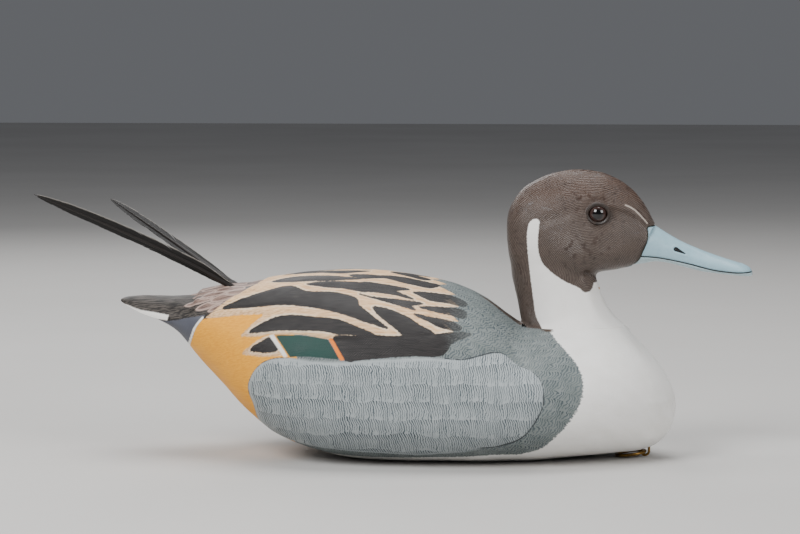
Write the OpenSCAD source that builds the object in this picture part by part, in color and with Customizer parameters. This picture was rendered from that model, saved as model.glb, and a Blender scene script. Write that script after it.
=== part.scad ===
// Floating duck decoy: a hollow, two-part pintail drake with an inset tail, a doweled head and bill,
// glass eyes, two pull-out tail sprigs, a flush ballast slab and a ring-and-staple line tie.
// Frame: +X towards the bill, +Y to the bird's left, +Z up, origin on the floor under the middle.

/* [Body] */
// Greatest width of the body, across Y
body_width = 156; // [144:1:164]
// Wall left between the skin and the float chamber
wall = 14; // [12:1:15]
// Height of the glue line between the two halves
seam_height = 44; // [42:1:46]
// Radius of the dowels that line up the two halves
body_dowel_r = 3; // [2:0.5:4]

/* [Neck and head] */
// Height of the flat seat that the neck stands on
seat_height = 81; // [80:0.5:82]
// Radius of the hardwood dowel in the neck
neck_dowel_r = 6; // [4:0.5:7]
// Shank radius of the screw that pulls the head down
head_screw_r = 2.5; // [2:0.5:3]
// Radius of the dowel between the bill and the head
bill_dowel_r = 3; // [2:0.5:4]

/* [Eyes] */
// Diameter of each glass eye
eye_d = 12; // [11:0.5:12.5]
// Diameter of the black pupil
pupil_d = 6; // [5:0.5:8]
// Thickness of the putty around each eye
putty_t = 0.8; // [0.6:0.1:1]

/* [Tail sprigs] */
// Radius of the round quill that plugs into the back
quill_r = 2; // [1.5:0.1:2.2]
// Depth of each quill hole
quill_depth = 28; // [20:1:30]
// Running clearance around the quill
quill_gap = 0.08; // [0.05:0.01:0.1]
// Greatest width of a sprig's vane
vane_w = 11; // [8:0.5:12]

/* [Ballast] */
// Length of the lead slab
ballast_l = 84; // [70:1:90]
// Width of the lead slab
ballast_w = 34; // [28:1:38]
// Thickness of the lead slab
ballast_t = 7; // [5:0.5:8]

/* [Line tie] */
// Mean radius of the ring
ring_r = 9; // [8:0.5:9]
// Wire radius of the ring
ring_wire = 1; // [0.9:0.05:1]
// Wire radius of the staple
staple_wire = 0.8; // [0.7:0.05:0.8]

/* [Hidden] */

SLACK = 0.05;      // glue or press allowance around a hidden fit
FAR = 400;         // larger than the whole object
RIGHT = -1;        // the bird's right is -Y
LEFT = 1;

// ---- Lines of the body ----
// One row per station: x, height on the back, height on the keel line, height of the widest
// point, half width as a share of the greatest, roundness above, roundness below.
BODY_LINES = [
    [-170.6,  95.4, 93.8, 94.6, 0.030, 2.0, 2.0],
    [-168.0,  96.6, 93.0, 93.4, 0.090, 2.0, 2.0],
    [-162.0,  97.4, 92.2, 90.6, 0.150, 2.0, 2.0],
    [-153.0,  97.7, 89.8, 87.2, 0.210, 2.0, 2.0],
    [-143.0,  97.6, 82.8, 85.0, 0.270, 2.0, 2.0],
    [-132.0,  97.7, 74.4, 84.0, 0.325, 2.1, 2.0],
    [-120.0,  99.0, 59.0, 81.5, 0.410, 2.1, 1.9],
    [-106.0, 102.0, 44.0, 75.0, 0.535, 2.1, 1.9],
    [ -90.0, 105.6, 27.5, 66.0, 0.685, 2.1, 2.0],
    [ -72.0, 109.4, 13.8, 58.5, 0.820, 2.1, 2.1],
    [ -50.0, 112.4,  5.2, 52.5, 0.930, 2.1, 2.3],
    [ -22.0, 113.8, -0.6, 48.5, 0.985, 2.1, 2.4],
    [   8.0, 112.2, -1.8, 46.5, 1.000, 2.1, 2.5],
    [  34.0, 107.6, -1.8, 44.5, 0.995, 2.1, 2.5],
    [  55.0,  99.0, -1.8, 43.0, 0.975, 2.0, 2.5],
    [  71.0,  87.8, -1.4, 42.0, 0.950, 1.9, 2.4],
    [  80.0,  82.6, -1.2, 41.6, 0.925, 1.8, 2.4],
    [  90.0,  83.2, -0.8, 41.0, 0.900, 1.8, 2.4],
    [ 108.0,  84.6,  0.8, 40.0, 0.840, 1.8, 2.3],
    [ 126.0,  85.0,  2.2, 39.0, 0.750, 1.8, 2.2],
    [ 141.0,  80.6,  3.4, 38.0, 0.640, 1.9, 2.1],
    [ 153.0,  71.0,  4.8, 37.0, 0.515, 2.0, 2.1],
    [ 163.0,  60.0,  8.4, 36.0, 0.380, 2.0, 2.0],
    [ 170.0,  49.6, 15.0, 34.5, 0.240, 2.0, 2.0],
    [ 173.6,  41.4, 22.6, 33.0, 0.125, 2.0, 2.0],
    [ 175.0,  34.6, 30.0, 32.5, 0.030, 2.0, 2.0]
];
BODY_STEPS = 2;    // rings for each gap between stations
BODY_AROUND = 40;  // points round each ring

// ---- Lines of the head: the same columns, half width in millimetres ----
HEAD_LINES = [
    [ 71.8, 146.0, 138.0, 142.0,  2.0, 2.0, 2.0],
    [ 72.8, 151.6, 125.0, 140.0,  8.0, 2.0, 2.0],
    [ 76.8, 159.4, 112.0, 137.0, 13.5, 2.0, 2.0],
    [ 84.0, 168.0, 104.0, 135.0, 17.5, 2.0, 2.0],
    [ 96.0, 174.6, 102.0, 134.0, 20.5, 1.9, 2.0],
    [110.0, 177.6, 105.0, 133.0, 22.0, 1.9, 2.0],
    [124.0, 177.0, 113.6, 132.0, 22.0, 1.8, 2.2],
    [136.0, 173.4, 115.8, 131.5, 20.5, 1.8, 2.3],
    [147.0, 166.4, 118.0, 131.0, 17.5, 1.8, 2.3],
    [155.0, 157.0, 119.8, 131.0, 14.5, 1.9, 2.2],
    [161.0, 146.0, 121.4, 131.5, 12.0, 2.0, 2.2],
    [165.0, 138.0, 123.0, 131.0,  9.0, 2.0, 2.0]
];
// ---- Lines of the neck: height, back, front, half width ----
NECK_LINES = [
    [ 81.0, 81.2, 140.0, 23.5],
    [ 85.0, 79.6, 136.4, 21.5],
    [ 92.0, 78.2, 133.0, 19.8],
    [102.0, 76.6, 128.6, 18.6],
    [112.0, 74.8, 125.4, 18.4],
    [124.0, 74.2, 120.0, 18.0],
    [138.0, 76.0, 112.0, 14.0]
];
// ---- Lines of the bill: the same columns as the head ----
BILL_LINES = [
    [146.0, 152.0, 119.0, 131.0, 14.0, 2.0, 2.4],
    [155.0, 147.0, 120.2, 130.0, 12.6, 2.0, 2.6],
    [162.0, 143.2, 121.4, 129.0, 11.2, 2.0, 2.8],
    [170.0, 138.2, 120.4, 126.0, 10.0, 2.0, 2.8],
    [180.0, 132.8, 118.0, 123.0,  9.4, 2.0, 2.8],
    [191.0, 128.2, 115.4, 119.8,  9.6, 2.0, 2.8],
    [203.0, 124.0, 113.8, 117.4, 10.4, 2.0, 2.6],
    [212.0, 121.2, 113.0, 116.0, 10.6, 2.0, 2.6],
    [217.6, 118.8, 112.6, 115.2,  9.0, 2.0, 2.4],
    [220.4, 116.8, 112.6, 114.6,  5.6, 2.0, 2.0],
    [221.4, 115.0, 113.2, 114.0,  2.0, 2.0, 2.0]
];

// ---- Where the pieces meet ----
TAIL_STEP_X = -140;   // the shelf under the tail board starts here
TAIL_END_X = -112;    // and ends at this upright face
TAIL_SHELF_Z = 86;    // height of the shelf
BILL_TOP = [161.5, 145];   // the bill's glue face, seen from the side
BILL_FOOT = [148, 119.4];
SEAT_X = [80.4, 144];   // the seat's two ends
CHAMBER_X = [-60, 148];   // stations between these carry the float chamber

EYE = [127, 151.4];     // x and z of the eye's centre
EYE_BACK_Y = 15.2;    // flat back of the glass, from the middle plane
SOCKET_FLOOR_Y = 13.4;

SCREW_X = 98;
DOWEL_X = 122;
DOWEL_FOOT_Z = 70;
CHAMBER_ROOF = 66;    // ceiling of the chamber at the head screw

BALLAST_X = 12;       // middle of the slab
BALLAST_INSET = 0.5;  // how far the slab sits above the flat bottom

HINGE = [156.5, 0, 3.5];   // axis of the ring in its staple
STAPLE_LEG = 2.4;          // half the staple's width
STAPLE_TOP = 24;
RING_TILT = asin((HINGE[2] - ring_wire - 0.1) / (2 * ring_r));

// Sprig roots: where each quill leaves the back, and the direction of its hole
SPRIG_ROOT_X = -96;
SPRIG_ROOT_Z = 101.5;
SPRIG_ROOT_Y = 7;
QUILL_RISE = 32;      // degrees above the horizon
SPLAY_RIGHT = 6;      // degrees that each quill leans out to its own side
SPLAY_LEFT = 12;
// Where each sprig's shaft ends, from its root: back, outwards, up
TIP_RIGHT = [122, 28, 61];
TIP_LEFT = [95, 68, 52];
VANE_START = 8;       // the vane begins this far up the shaft
BEND = 50;            // and the shaft stays close to the quill's line for about this far

// ---- Curves and skins ----
// Catmull-Rom value between b and c, at t from 0 to 1
function spline(a, b, c, d, t) =
    b + t * (c - a) / 2 + t * t * (2 * a - 5 * b + 4 * c - d) / 2
    + t * t * t * (3 * (b - c) + d - a) / 2;

// The row at a place along a table, where 2.5 is halfway between rows 2 and 3
function row_at(table, u) =
    let(last = len(table) - 1,
        i = min(floor(u), last - 1),
        t = u - i,
        a = table[max(i - 1, 0)],
        b = table[i],
        c = table[i + 1],
        d = table[min(i + 2, last)])
    [for (k = [0:len(b) - 1]) spline(a[k], b[k], c[k], d[k], t)];

function power(v, n) = sign(v) * pow(abs(v), 2 / n);

// A ring across X: superellipse with its widest point at wide_z
function cross_ring(x, top, bottom, wide_z, half_w, n_top, n_bottom, around) =
    [for (k = [0:around - 1])
        let(angle = 360 * k / around,
            upper = sin(angle) >= 0,
            n = upper ? n_top : n_bottom,
            rise = upper ? top - wide_z : wide_z - bottom)
        [x, half_w * power(cos(angle), n), wide_z + rise * power(sin(angle), n)]];

function line_rings(table, steps, around, width_unit) =
    [for (k = [0:(len(table) - 1) * steps])
        let(r = row_at(table, k / steps))
        cross_ring(r[0], r[1], r[2], r[3], r[4] * width_unit, r[5], r[6], around)];

function mean(points) = [for (k = [0:2]) [for (p = points) 1] * [for (p = points) p[k]]] / len(points);

// A closed skin over rings of the same number of points, with a point in the middle of each end
module skin(rings) {
    n = len(rings[0]);
    last = len(rings) - 1;
    points = [for (r = rings) each r, mean(rings[0]), mean(rings[last])];
    start = n * (last + 1);
    sides = [for (i = [0:last - 1], k = [0:n - 1])
        let(a = i * n + k, b = i * n + (k + 1) % n)
        each [[a, a + n, b + n], [a, b + n, b]]];
    front = [for (k = [0:n - 1]) [start, k, (k + 1) % n]];
    back = [for (k = [0:n - 1]) [start + 1, last * n + (k + 1) % n, last * n + k]];
    polyhedron(points = points, faces = concat(sides, front, back), convexity = 6);
}

// A box between two corners
module block(low, high) {
    translate(low) cube(high - low);
}

// A cylinder between two points
module rod(from, to, r) {
    d = to - from;
    translate(from)
        rotate([0, acos(d[2] / norm(d)), atan2(d[1], d[0])])
            cylinder(h = norm(d), r = r, $fn = 48);
}

// ---- Whole shapes, before they are cut into pieces ----
module body_form() {
    intersection() {
        skin(line_rings(BODY_LINES, BODY_STEPS, BODY_AROUND, body_width / 2));
        block([-FAR, -FAR, 0], [FAR, FAR, FAR]);
    }
}

// The float chamber, one wall inside the skin
module chamber() {
    around = 20;
    rings = [for (k = [0:len(BODY_LINES) - 1])
        let(r = BODY_LINES[k], half_w = r[4] * body_width / 2)
        if (r[0] > CHAMBER_X[0] && r[0] < CHAMBER_X[1])
            cross_ring(r[0], r[1] - wall - 3, max(r[2], 0) + wall, r[3], half_w - wall,
                       r[5], r[6], around)];
    skin(rings);
}

module tail_block(gap) {
    union() {
        block([-FAR, -FAR, 0], [TAIL_STEP_X + gap, FAR, FAR]);
        block([-FAR, -FAR, TAIL_SHELF_Z - gap], [TAIL_END_X + gap, FAR, FAR]);
    }
}

// Everything in front of the bill's glue face
module bill_side(gap) {
    lean = atan2(BILL_TOP[0] - BILL_FOOT[0], BILL_TOP[1] - BILL_FOOT[1]);
    translate([BILL_FOOT[0] - gap, 0, BILL_FOOT[1]])
        rotate([0, lean, 0])
            block([0, -60, -60], [120, 60, 60]);
}

// ---- Body ----
module body_upper() {
    color("lightslategray")
    difference() {
        body_form();
        block([-FAR, -FAR, -1], [FAR, FAR, seam_height]);
        block([SEAT_X[0], -FAR, seat_height], [SEAT_X[1], FAR, FAR]);
        tail_block(0);
        chamber();
        body_dowel_rods(SLACK);
        tail_dowel_rods(SLACK);
        neck_dowel_rod(SLACK);
        rod([SCREW_X, 0, CHAMBER_ROOF - 10], [SCREW_X, 0, FAR / 4], head_screw_r + SLACK);
        rod([SCREW_X, 0, CHAMBER_ROOF - 25], [SCREW_X, 0, CHAMBER_ROOF], 9);
        quill_hole(RIGHT);
        quill_hole(LEFT);
    }
}

module body_lower() {
    color("gainsboro")
    difference() {
        body_form();
        block([-FAR, -FAR, seam_height], [FAR, FAR, FAR]);
        chamber();
        body_dowel_rods(SLACK);
        ballast_slab(SLACK, -1);
        ballast_screw_rods(SLACK);
        staple_legs(SLACK);
    }
}

// Four dowels across the seam, in the thick ends and sides
module body_dowel_rods(gap) {
    for (place = [[-88, 0], [157, 0], [20, 71], [20, -71]])
        rod([place[0], place[1], seam_height - 9], [place[0], place[1], seam_height + 9],
            body_dowel_r + gap);
}

module body_dowels() {
    color("burlywood") body_dowel_rods(0);
}

module tail_board() {
    color("dimgray")
    difference() {
        intersection() {
            body_form();
            tail_block(0);
        }
        tail_dowel_rods(SLACK);
    }
}

module tail_dowel_rods(gap) {
    for (y = [-15, 15])
        rod([TAIL_END_X - 13, y, 91.5], [TAIL_END_X + 13, y, 91.5], 2 + gap);
}

module tail_dowels() {
    color("burlywood") tail_dowel_rods(0);
}

// ---- Head and neck ----
module neck_form() {
    around = 32;
    steps = 2;
    rings = [for (k = [0:(len(NECK_LINES) - 1) * steps])
        let(r = row_at(NECK_LINES, k / steps), middle = (r[1] + r[2]) / 2, half_l = (r[2] - r[1]) / 2)
        [for (j = [0:around - 1])
            let(angle = 360 * j / around)
            [middle + half_l * cos(angle), r[3] * sin(angle), r[0]]]];
    skin(rings);
}

module head() {
    color("saddlebrown")
    difference() {
        union() {
            neck_form();
            skin(line_rings(HEAD_LINES, 2, 32, 1));
        }
        bill_side(0);
        neck_dowel_rod(SLACK);
        rod([SCREW_X, 0, seat_height - 1], [SCREW_X, 0, seat_height + 34], head_screw_r + SLACK);
        bill_dowel_rod(SLACK);
        for (side = [RIGHT, LEFT])
            rod([EYE[0], side * SOCKET_FLOOR_Y, EYE[1]], [EYE[0], side * 40, EYE[1]],
                eye_d / 2 + putty_t);
    }
}

module neck_dowel_rod(gap) {
    rod([DOWEL_X, 0, DOWEL_FOOT_Z], [DOWEL_X, 0, seat_height + 24], neck_dowel_r + gap);
}

module neck_dowel() {
    color("burlywood") neck_dowel_rod(0);
}

module head_screw() {
    color("silver") {
        rod([SCREW_X, 0, CHAMBER_ROOF - 6], [SCREW_X, 0, seat_height + 32], head_screw_r);
        translate([SCREW_X, 0, CHAMBER_ROOF - 6])
            cylinder(h = 4, r = 5, $fn = 6);
    }
}

module head_washer() {
    color("silver")
    difference() {
        rod([SCREW_X, 0, CHAMBER_ROOF - 1.8], [SCREW_X, 0, CHAMBER_ROOF - 0.1], 8);
        rod([SCREW_X, 0, CHAMBER_ROOF - 3], [SCREW_X, 0, CHAMBER_ROOF + 1], head_screw_r + 0.3);
    }
}

// ---- Bill ----
module bill_dowel_rod(gap) {
    rod([138, 0, 130.5], [172, 0, 127.5], bill_dowel_r + gap);
}

module bill_dowel() {
    color("burlywood") bill_dowel_rod(0);
}

module bill() {
    color("lightblue")
    difference() {
        intersection() {
            skin(line_rings(BILL_LINES, 2, 28, 1));
            bill_side(0);
        }
        bill_dowel_rod(SLACK);
        for (side = [RIGHT, LEFT])
            rod([175.5, side * 6, 128.4], [176.5, side * 12, 128.9], 1);
    }
}

// ---- Eyes ----
// The glass is a ball cut flat at its back
module eye_glass(side) {
    color("black", 0.4)
    intersection() {
        translate([EYE[0], side * EYE_BACK_Y, EYE[1]]) sphere(r = eye_d / 2, $fn = 64);
        block([0, min(side * EYE_BACK_Y, side * 40), 100], [FAR, max(side * EYE_BACK_Y, side * 40), 200]);
    }
}

module eye_iris(side) {
    color("sienna")
    difference() {
        rod([EYE[0], side * (EYE_BACK_Y - 1), EYE[1]], [EYE[0], side * EYE_BACK_Y, EYE[1]], eye_d / 2);
        rod([EYE[0], side * (EYE_BACK_Y - 2), EYE[1]], [EYE[0], side * (EYE_BACK_Y + 1), EYE[1]], pupil_d / 2);
    }
}

module eye_pupil(side) {
    color("black")
    rod([EYE[0], side * (EYE_BACK_Y - 1), EYE[1]], [EYE[0], side * EYE_BACK_Y, EYE[1]], pupil_d / 2);
}

// Putty fills the socket round the glass and behind it
module eye_putty(side) {
    color("peru")
    difference() {
        rod([EYE[0], side * SOCKET_FLOOR_Y, EYE[1]], [EYE[0], side * (EYE_BACK_Y + 4), EYE[1]],
            eye_d / 2 + putty_t);
        rod([EYE[0], side * (EYE_BACK_Y - 1), EYE[1]], [EYE[0], side * 40, EYE[1]], eye_d / 2);
    }
}

// ---- Tail sprigs ----
function quill_way(side) =
    let(splay = side == RIGHT ? SPLAY_RIGHT : SPLAY_LEFT)
    [-cos(QUILL_RISE) * cos(splay), side * cos(QUILL_RISE) * sin(splay), sin(QUILL_RISE)];
function sprig_root(side) = [SPRIG_ROOT_X, side * SPRIG_ROOT_Y, SPRIG_ROOT_Z];
function sprig_tip(side) =
    let(t = side == RIGHT ? TIP_RIGHT : TIP_LEFT)
    sprig_root(side) + [-t[0], side * t[1], t[2]];

module quill_hole(side) {
    root = sprig_root(side);
    rod(root - quill_depth * quill_way(side), root + 20 * quill_way(side), quill_r + quill_gap);
}

// The shaft leaves the hole straight and bends outwards to its tip
function shaft(side, t) =
    let(root = sprig_root(side) + VANE_START * quill_way(side),
        bend = sprig_root(side) + BEND * quill_way(side),
        tip = sprig_tip(side))
    (1 - t) * (1 - t) * root + 2 * t * (1 - t) * bend + t * t * tip;

// Share of the greatest width at each place along the vane
function vane_share(t) = min(1, 0.5 + 6 * t) * (1 - 0.95 * pow(t, 6));

module sprig(side) {
    steps = 20;
    roll = 52;   // degrees the vane's face leans towards the side
    rings = [for (k = [0:steps])
        let(t = k / steps,
            p = shaft(side, t),
            ahead = shaft(side, t + 0.01) - shaft(side, t - 0.01),
            along = ahead / norm(ahead),
            flat = cross([0, 0, 1], along) / norm(cross([0, 0, 1], along)),
            up = cross(along, flat),
            wide = side * cos(roll) * flat - sin(roll) * up,
            thick = cross(along, wide),
            half_w = vane_w / 2 * vane_share(t),
            half_t = 0.9 - 0.5 * t)
        [for (j = [0:7])
            let(a = 45 * j)
            p + half_w * cos(a) * wide + half_t * pow(abs(sin(a)), 1.5) * sign(sin(a)) * thick]];
    root = sprig_root(side);
    color([0.2, 0.2, 0.2]) {
        skin(rings);
        rod(root - (quill_depth - 1) * quill_way(side), shaft(side, 0.02), quill_r);
    }
}

// ---- Ballast ----
module ballast_slab(gap, low) {
    block([BALLAST_X - ballast_l / 2 - gap, -ballast_w / 2 - gap, low],
          [BALLAST_X + ballast_l / 2 + gap, ballast_w / 2 + gap, BALLAST_INSET + ballast_t + gap]);
}

module ballast_screw_rods(gap) {
    for (x = [-1, 1], y = [-1, 1])
        translate([BALLAST_X + x * (ballast_l / 2 - 8), y * (ballast_w / 2 - 7), BALLAST_INSET]) {
            cylinder(h = 11.5, r = 1.6 + gap, $fn = 32);
            cylinder(h = 2.2, r1 = 3.6 + gap, r2 = 1.6 + gap, $fn = 32);
        }
}

module ballast_weight() {
    color("slategray")
    difference() {
        ballast_slab(0, BALLAST_INSET);
        ballast_screw_rods(SLACK);
    }
}

module ballast_screws() {
    color("goldenrod")
    difference() {
        ballast_screw_rods(0);
        for (x = [-1, 1], y = [-1, 1])
            translate([BALLAST_X + x * (ballast_l / 2 - 8) - 0.4, y * (ballast_w / 2 - 7) - 4, 0])
                cube([0.8, 8, BALLAST_INSET + 0.8]);
    }
}

// ---- Line tie ----
module staple_legs(gap) {
    for (x = [-STAPLE_LEG, STAPLE_LEG])
        rod(HINGE + [x, 0, 0], [HINGE[0] + x, 0, STAPLE_TOP], staple_wire + gap);
}

module line_tie_staple() {
    color("darkgoldenrod") {
        staple_legs(0);
        translate(HINGE)
            rotate([90, 180, 0])
                rotate_extrude(angle = 180, $fn = 48)
                    translate([STAPLE_LEG, 0]) circle(r = staple_wire, $fn = 24);
    }
}

// The ring lies back from its staple with its free side on the floor
module line_tie_ring() {
    color("darkgoldenrod")
    translate(HINGE)
        rotate([0, -RING_TILT, 0])
            translate([-ring_r, 0, 0])
                rotate_extrude($fn = 64) translate([ring_r, 0]) circle(r = ring_wire, $fn = 24);
}

// ---- Assembly ----
body_upper();
body_lower();
body_dowels();
tail_board();
tail_dowels();
head();
neck_dowel();
head_screw();
head_washer();
bill();
bill_dowel();
eye_glass(RIGHT);  // eye_glass_right
eye_glass(LEFT);  // eye_glass_left
eye_iris(RIGHT);  // eye_iris_right
eye_iris(LEFT);  // eye_iris_left
eye_pupil(RIGHT);  // eye_pupil_right
eye_pupil(LEFT);  // eye_pupil_left
eye_putty(RIGHT);  // eye_putty_right
eye_putty(LEFT);  // eye_putty_left
sprig(RIGHT);  // sprig_right
sprig(LEFT);  // sprig_left
ballast_weight();
ballast_screws();
line_tie_staple();
line_tie_ring();
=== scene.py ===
from functools import partial
import bmesh
import bpy
import numpy as np
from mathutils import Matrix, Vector


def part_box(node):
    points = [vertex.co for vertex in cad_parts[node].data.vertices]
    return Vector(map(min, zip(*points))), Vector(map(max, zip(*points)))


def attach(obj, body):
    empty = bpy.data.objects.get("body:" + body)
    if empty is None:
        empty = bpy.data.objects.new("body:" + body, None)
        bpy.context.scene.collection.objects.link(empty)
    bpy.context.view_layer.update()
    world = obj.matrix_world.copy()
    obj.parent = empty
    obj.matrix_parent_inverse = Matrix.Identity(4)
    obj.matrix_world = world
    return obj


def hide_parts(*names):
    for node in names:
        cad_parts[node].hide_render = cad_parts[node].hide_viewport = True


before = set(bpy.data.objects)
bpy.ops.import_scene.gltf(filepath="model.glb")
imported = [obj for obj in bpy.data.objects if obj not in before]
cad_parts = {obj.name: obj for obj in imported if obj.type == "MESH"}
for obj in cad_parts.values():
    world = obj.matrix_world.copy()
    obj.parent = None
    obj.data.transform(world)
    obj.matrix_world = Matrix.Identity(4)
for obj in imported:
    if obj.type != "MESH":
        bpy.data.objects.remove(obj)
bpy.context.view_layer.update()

MM = 0.001
RIGHT, LEFT = -1, 1

# ---- Lines of the carving, the same stations as the CAD ----
# x, height of the back, of the keel and of the widest point, half width, roundness above and below
HALF_BEAM = 78.0
BODY_LINES = np.array([
    [-170.6, 95.4, 93.8, 94.6, 0.03, 2, 2], [-168, 96.6, 93, 93.4, 0.09, 2, 2],
    [-162, 97.4, 92.2, 90.6, 0.15, 2, 2], [-153, 97.7, 89.8, 87.2, 0.21, 2, 2],
    [-143, 97.6, 82.8, 85, 0.27, 2, 2], [-132, 97.7, 74.4, 84, 0.325, 2.1, 2],
    [-120, 99, 59, 81.5, 0.41, 2.1, 1.9], [-106, 102, 44, 75, 0.535, 2.1, 1.9],
    [-90, 105.6, 27.5, 66, 0.685, 2.1, 2], [-72, 109.4, 13.8, 58.5, 0.82, 2.1, 2.1],
    [-50, 112.4, 5.2, 52.5, 0.93, 2.1, 2.3], [-22, 113.8, -0.6, 48.5, 0.985, 2.1, 2.4],
    [8, 112.2, -1.8, 46.5, 1, 2.1, 2.5], [34, 107.6, -1.8, 44.5, 0.995, 2.1, 2.5],
    [55, 99, -1.8, 43, 0.975, 2, 2.5], [71, 87.8, -1.4, 42, 0.95, 1.9, 2.4],
    [80, 82.6, -1.2, 41.6, 0.925, 1.8, 2.4], [90, 83.2, -0.8, 41, 0.9, 1.8, 2.4],
    [108, 84.6, 0.8, 40, 0.84, 1.8, 2.3], [126, 85, 2.2, 39, 0.75, 1.8, 2.2],
    [141, 80.6, 3.4, 38, 0.64, 1.9, 2.1], [153, 71, 4.8, 37, 0.515, 2, 2.1], [163, 60, 8.4, 36, 0.38, 2, 2],
    [170, 49.6, 15, 34.5, 0.24, 2, 2], [173.6, 41.4, 22.6, 33, 0.125, 2, 2],
    [175, 34.6, 30, 32.5, 0.03, 2, 2],
])
HEAD_LINES = np.array([
    [71.8, 146, 138, 142, 2, 2, 2], [72.8, 151.6, 125, 140, 8, 2, 2], [76.8, 159.4, 112, 137, 13.5, 2, 2],
    [84, 168, 104, 135, 17.5, 2, 2], [96, 174.6, 102, 134, 20.5, 1.9, 2],
    [110, 177.6, 105, 133, 22, 1.9, 2], [124, 177, 113.6, 132, 22, 1.8, 2.2],
    [136, 173.4, 115.8, 131.5, 20.5, 1.8, 2.3], [147, 166.4, 118, 131, 17.5, 1.8, 2.3],
    [155, 157, 119.8, 131, 14.5, 1.9, 2.2], [161, 146, 121.4, 131.5, 12, 2, 2.2],
    [165, 138, 123, 131, 9, 2, 2],
])
# height, back, front, half width
NECK_LINES = np.array([
    [81, 81.2, 140, 23.5], [85, 79.6, 136.4, 21.5], [92, 78.2, 133, 19.8], [102, 76.6, 128.6, 18.6],
    [112, 74.8, 125.4, 18.4], [124, 74.2, 120, 18], [138, 76, 112, 14],
])
BILL_LINES = np.array([
    [146, 152, 119, 131, 14, 2, 2.4], [155, 147, 120.2, 130, 12.6, 2, 2.6],
    [162, 143.2, 121.4, 129, 11.2, 2, 2.8], [170, 138.2, 120.4, 126, 10, 2, 2.8],
    [180, 132.8, 118, 123, 9.4, 2, 2.8], [191, 128.2, 115.4, 119.8, 9.6, 2, 2.8],
    [203, 124, 113.8, 117.4, 10.4, 2, 2.6], [212, 121.2, 113, 116, 10.6, 2, 2.6],
    [217.6, 118.8, 112.6, 115.2, 9, 2, 2.4], [220.4, 116.8, 112.6, 114.6, 5.6, 2, 2],
    [221.4, 115, 113.2, 114, 2, 2, 2],
])

# ---- Where the pieces meet, as in the CAD ----
SEAM_Z = 44.0
SEAT_X = (80.4, 144.0)
SEAT_Z = 81.0
TAIL_STEP_X, TAIL_END_X, TAIL_SHELF_Z = -140.0, -112.0, 86.0
BILL_TOP = np.array([161.5, 145.0])
BILL_FOOT = np.array([148.0, 119.4])
WALL = 14.0
CHAMBER_X = (-60.0, 148.0)
EYE_X, EYE_Z, EYE_BACK_Y, EYE_R, PUTTY = 127.0, 151.4, 15.2, 6.0, 0.8
QUILL_R, QUILL_GAP, QUILL_DEPTH = 2.0, 0.08, 28.0
QUILL_RISE = np.radians(32)
SPLAY = {RIGHT: np.radians(6), LEFT: np.radians(12)}
SPRIG_ROOT = np.array([-96.0, 7.0, 101.5])
SPRIG_TIP = {RIGHT: np.array([-122.0, 28.0, 61.0]), LEFT: np.array([-95.0, 68.0, 52.0])}
VANE_START, BEND, VANE_W = 8.0, 50.0, 11.0


# ---- Curves, skins and cuts ----
def along(rows, places):
    """Catmull-Rom values between the rows of a table; place 2.5 is halfway from row 2 to row 3."""
    rows = np.asarray(rows, float)
    places = np.asarray(places, float)
    last = len(rows) - 1
    index = np.clip(np.floor(places).astype(int), 0, last - 1)
    t = (places - index)[:, None]
    a, b, c, d = (rows[np.clip(index + k, 0, last)] for k in (-1, 0, 1, 2))
    return b + t * (c - a) / 2 + t**2 * (2 * a - 5 * b + 4 * c - d) / 2 + t**3 * (3 * (b - c) + d - a) / 2


def places_for(rows, column, step):
    """Places along a table that are about one step apart in a column."""
    gaps = np.abs(np.diff(rows[:, column]))
    counts = np.maximum(2, np.ceil(gaps / step)).astype(int)
    spans = [i + np.arange(n) / n for i, n in enumerate(counts)]
    return np.append(np.concatenate(spans), len(rows) - 1)


def power(value, roundness):
    return np.sign(value) * np.abs(value) ** (2 / roundness)


def cross_rings(rows, around, unit=1.0, shrink=0.0):
    """Rings across X, one for each row; shrink moves them inwards."""
    angle = 2 * np.pi * np.arange(around) / around
    x, top, bottom, wide_z, half_w, above, below = (rows[:, k, None] for k in range(7))
    upper = np.sin(angle) >= 0
    roundness = np.where(upper, above, below)
    rise = np.where(upper, top - wide_z, wide_z - bottom) - shrink
    y = (half_w * unit - shrink) * power(np.cos(angle), roundness)
    z = wide_z + rise * power(np.sin(angle), roundness)
    return np.stack([np.broadcast_to(x, y.shape), y, z], axis=-1)


def piece_from(name, points, faces):
    """A piece with its faces turned outwards."""
    points = np.asarray(points, float)
    fans = np.array([[f[0], f[k], f[k + 1]] for f in faces for k in range(1, len(f) - 1)])
    a, b, c = (points[fans[:, k]] for k in range(3))
    if (a * np.cross(b, c)).sum() < 0:
        faces = [f[::-1] for f in faces]
    mesh = bpy.data.meshes.new(name)
    mesh.from_pydata((points * MM).tolist(), [], faces)
    mesh.update()
    piece = bpy.data.objects.new(name, mesh)
    bpy.context.scene.collection.objects.link(piece)
    return piece


def skin(name, rings):
    """A closed skin over rings of equal length, with a point in the middle of each end."""
    count, around, _ = rings.shape
    i = np.arange(count - 1)[:, None] * around
    k = np.arange(around)[None, :]
    following = (k + 1) % around
    sides = np.stack([i + k, i + around + k, i + around + following, i + following], axis=-1).reshape(-1, 4)
    first, last = count * around, count * around + 1
    k, following = k[0], following[0]
    end = (count - 1) * around
    caps = [[first, a, b] for a, b in zip(k.tolist(), following.tolist())]
    caps += [[last, end + b, end + a] for a, b in zip(k.tolist(), following.tolist())]
    points = np.concatenate([rings.reshape(-1, 3), [rings[0].mean(0)], [rings[-1].mean(0)]])
    return piece_from(name, points, sides.tolist() + caps)


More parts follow.
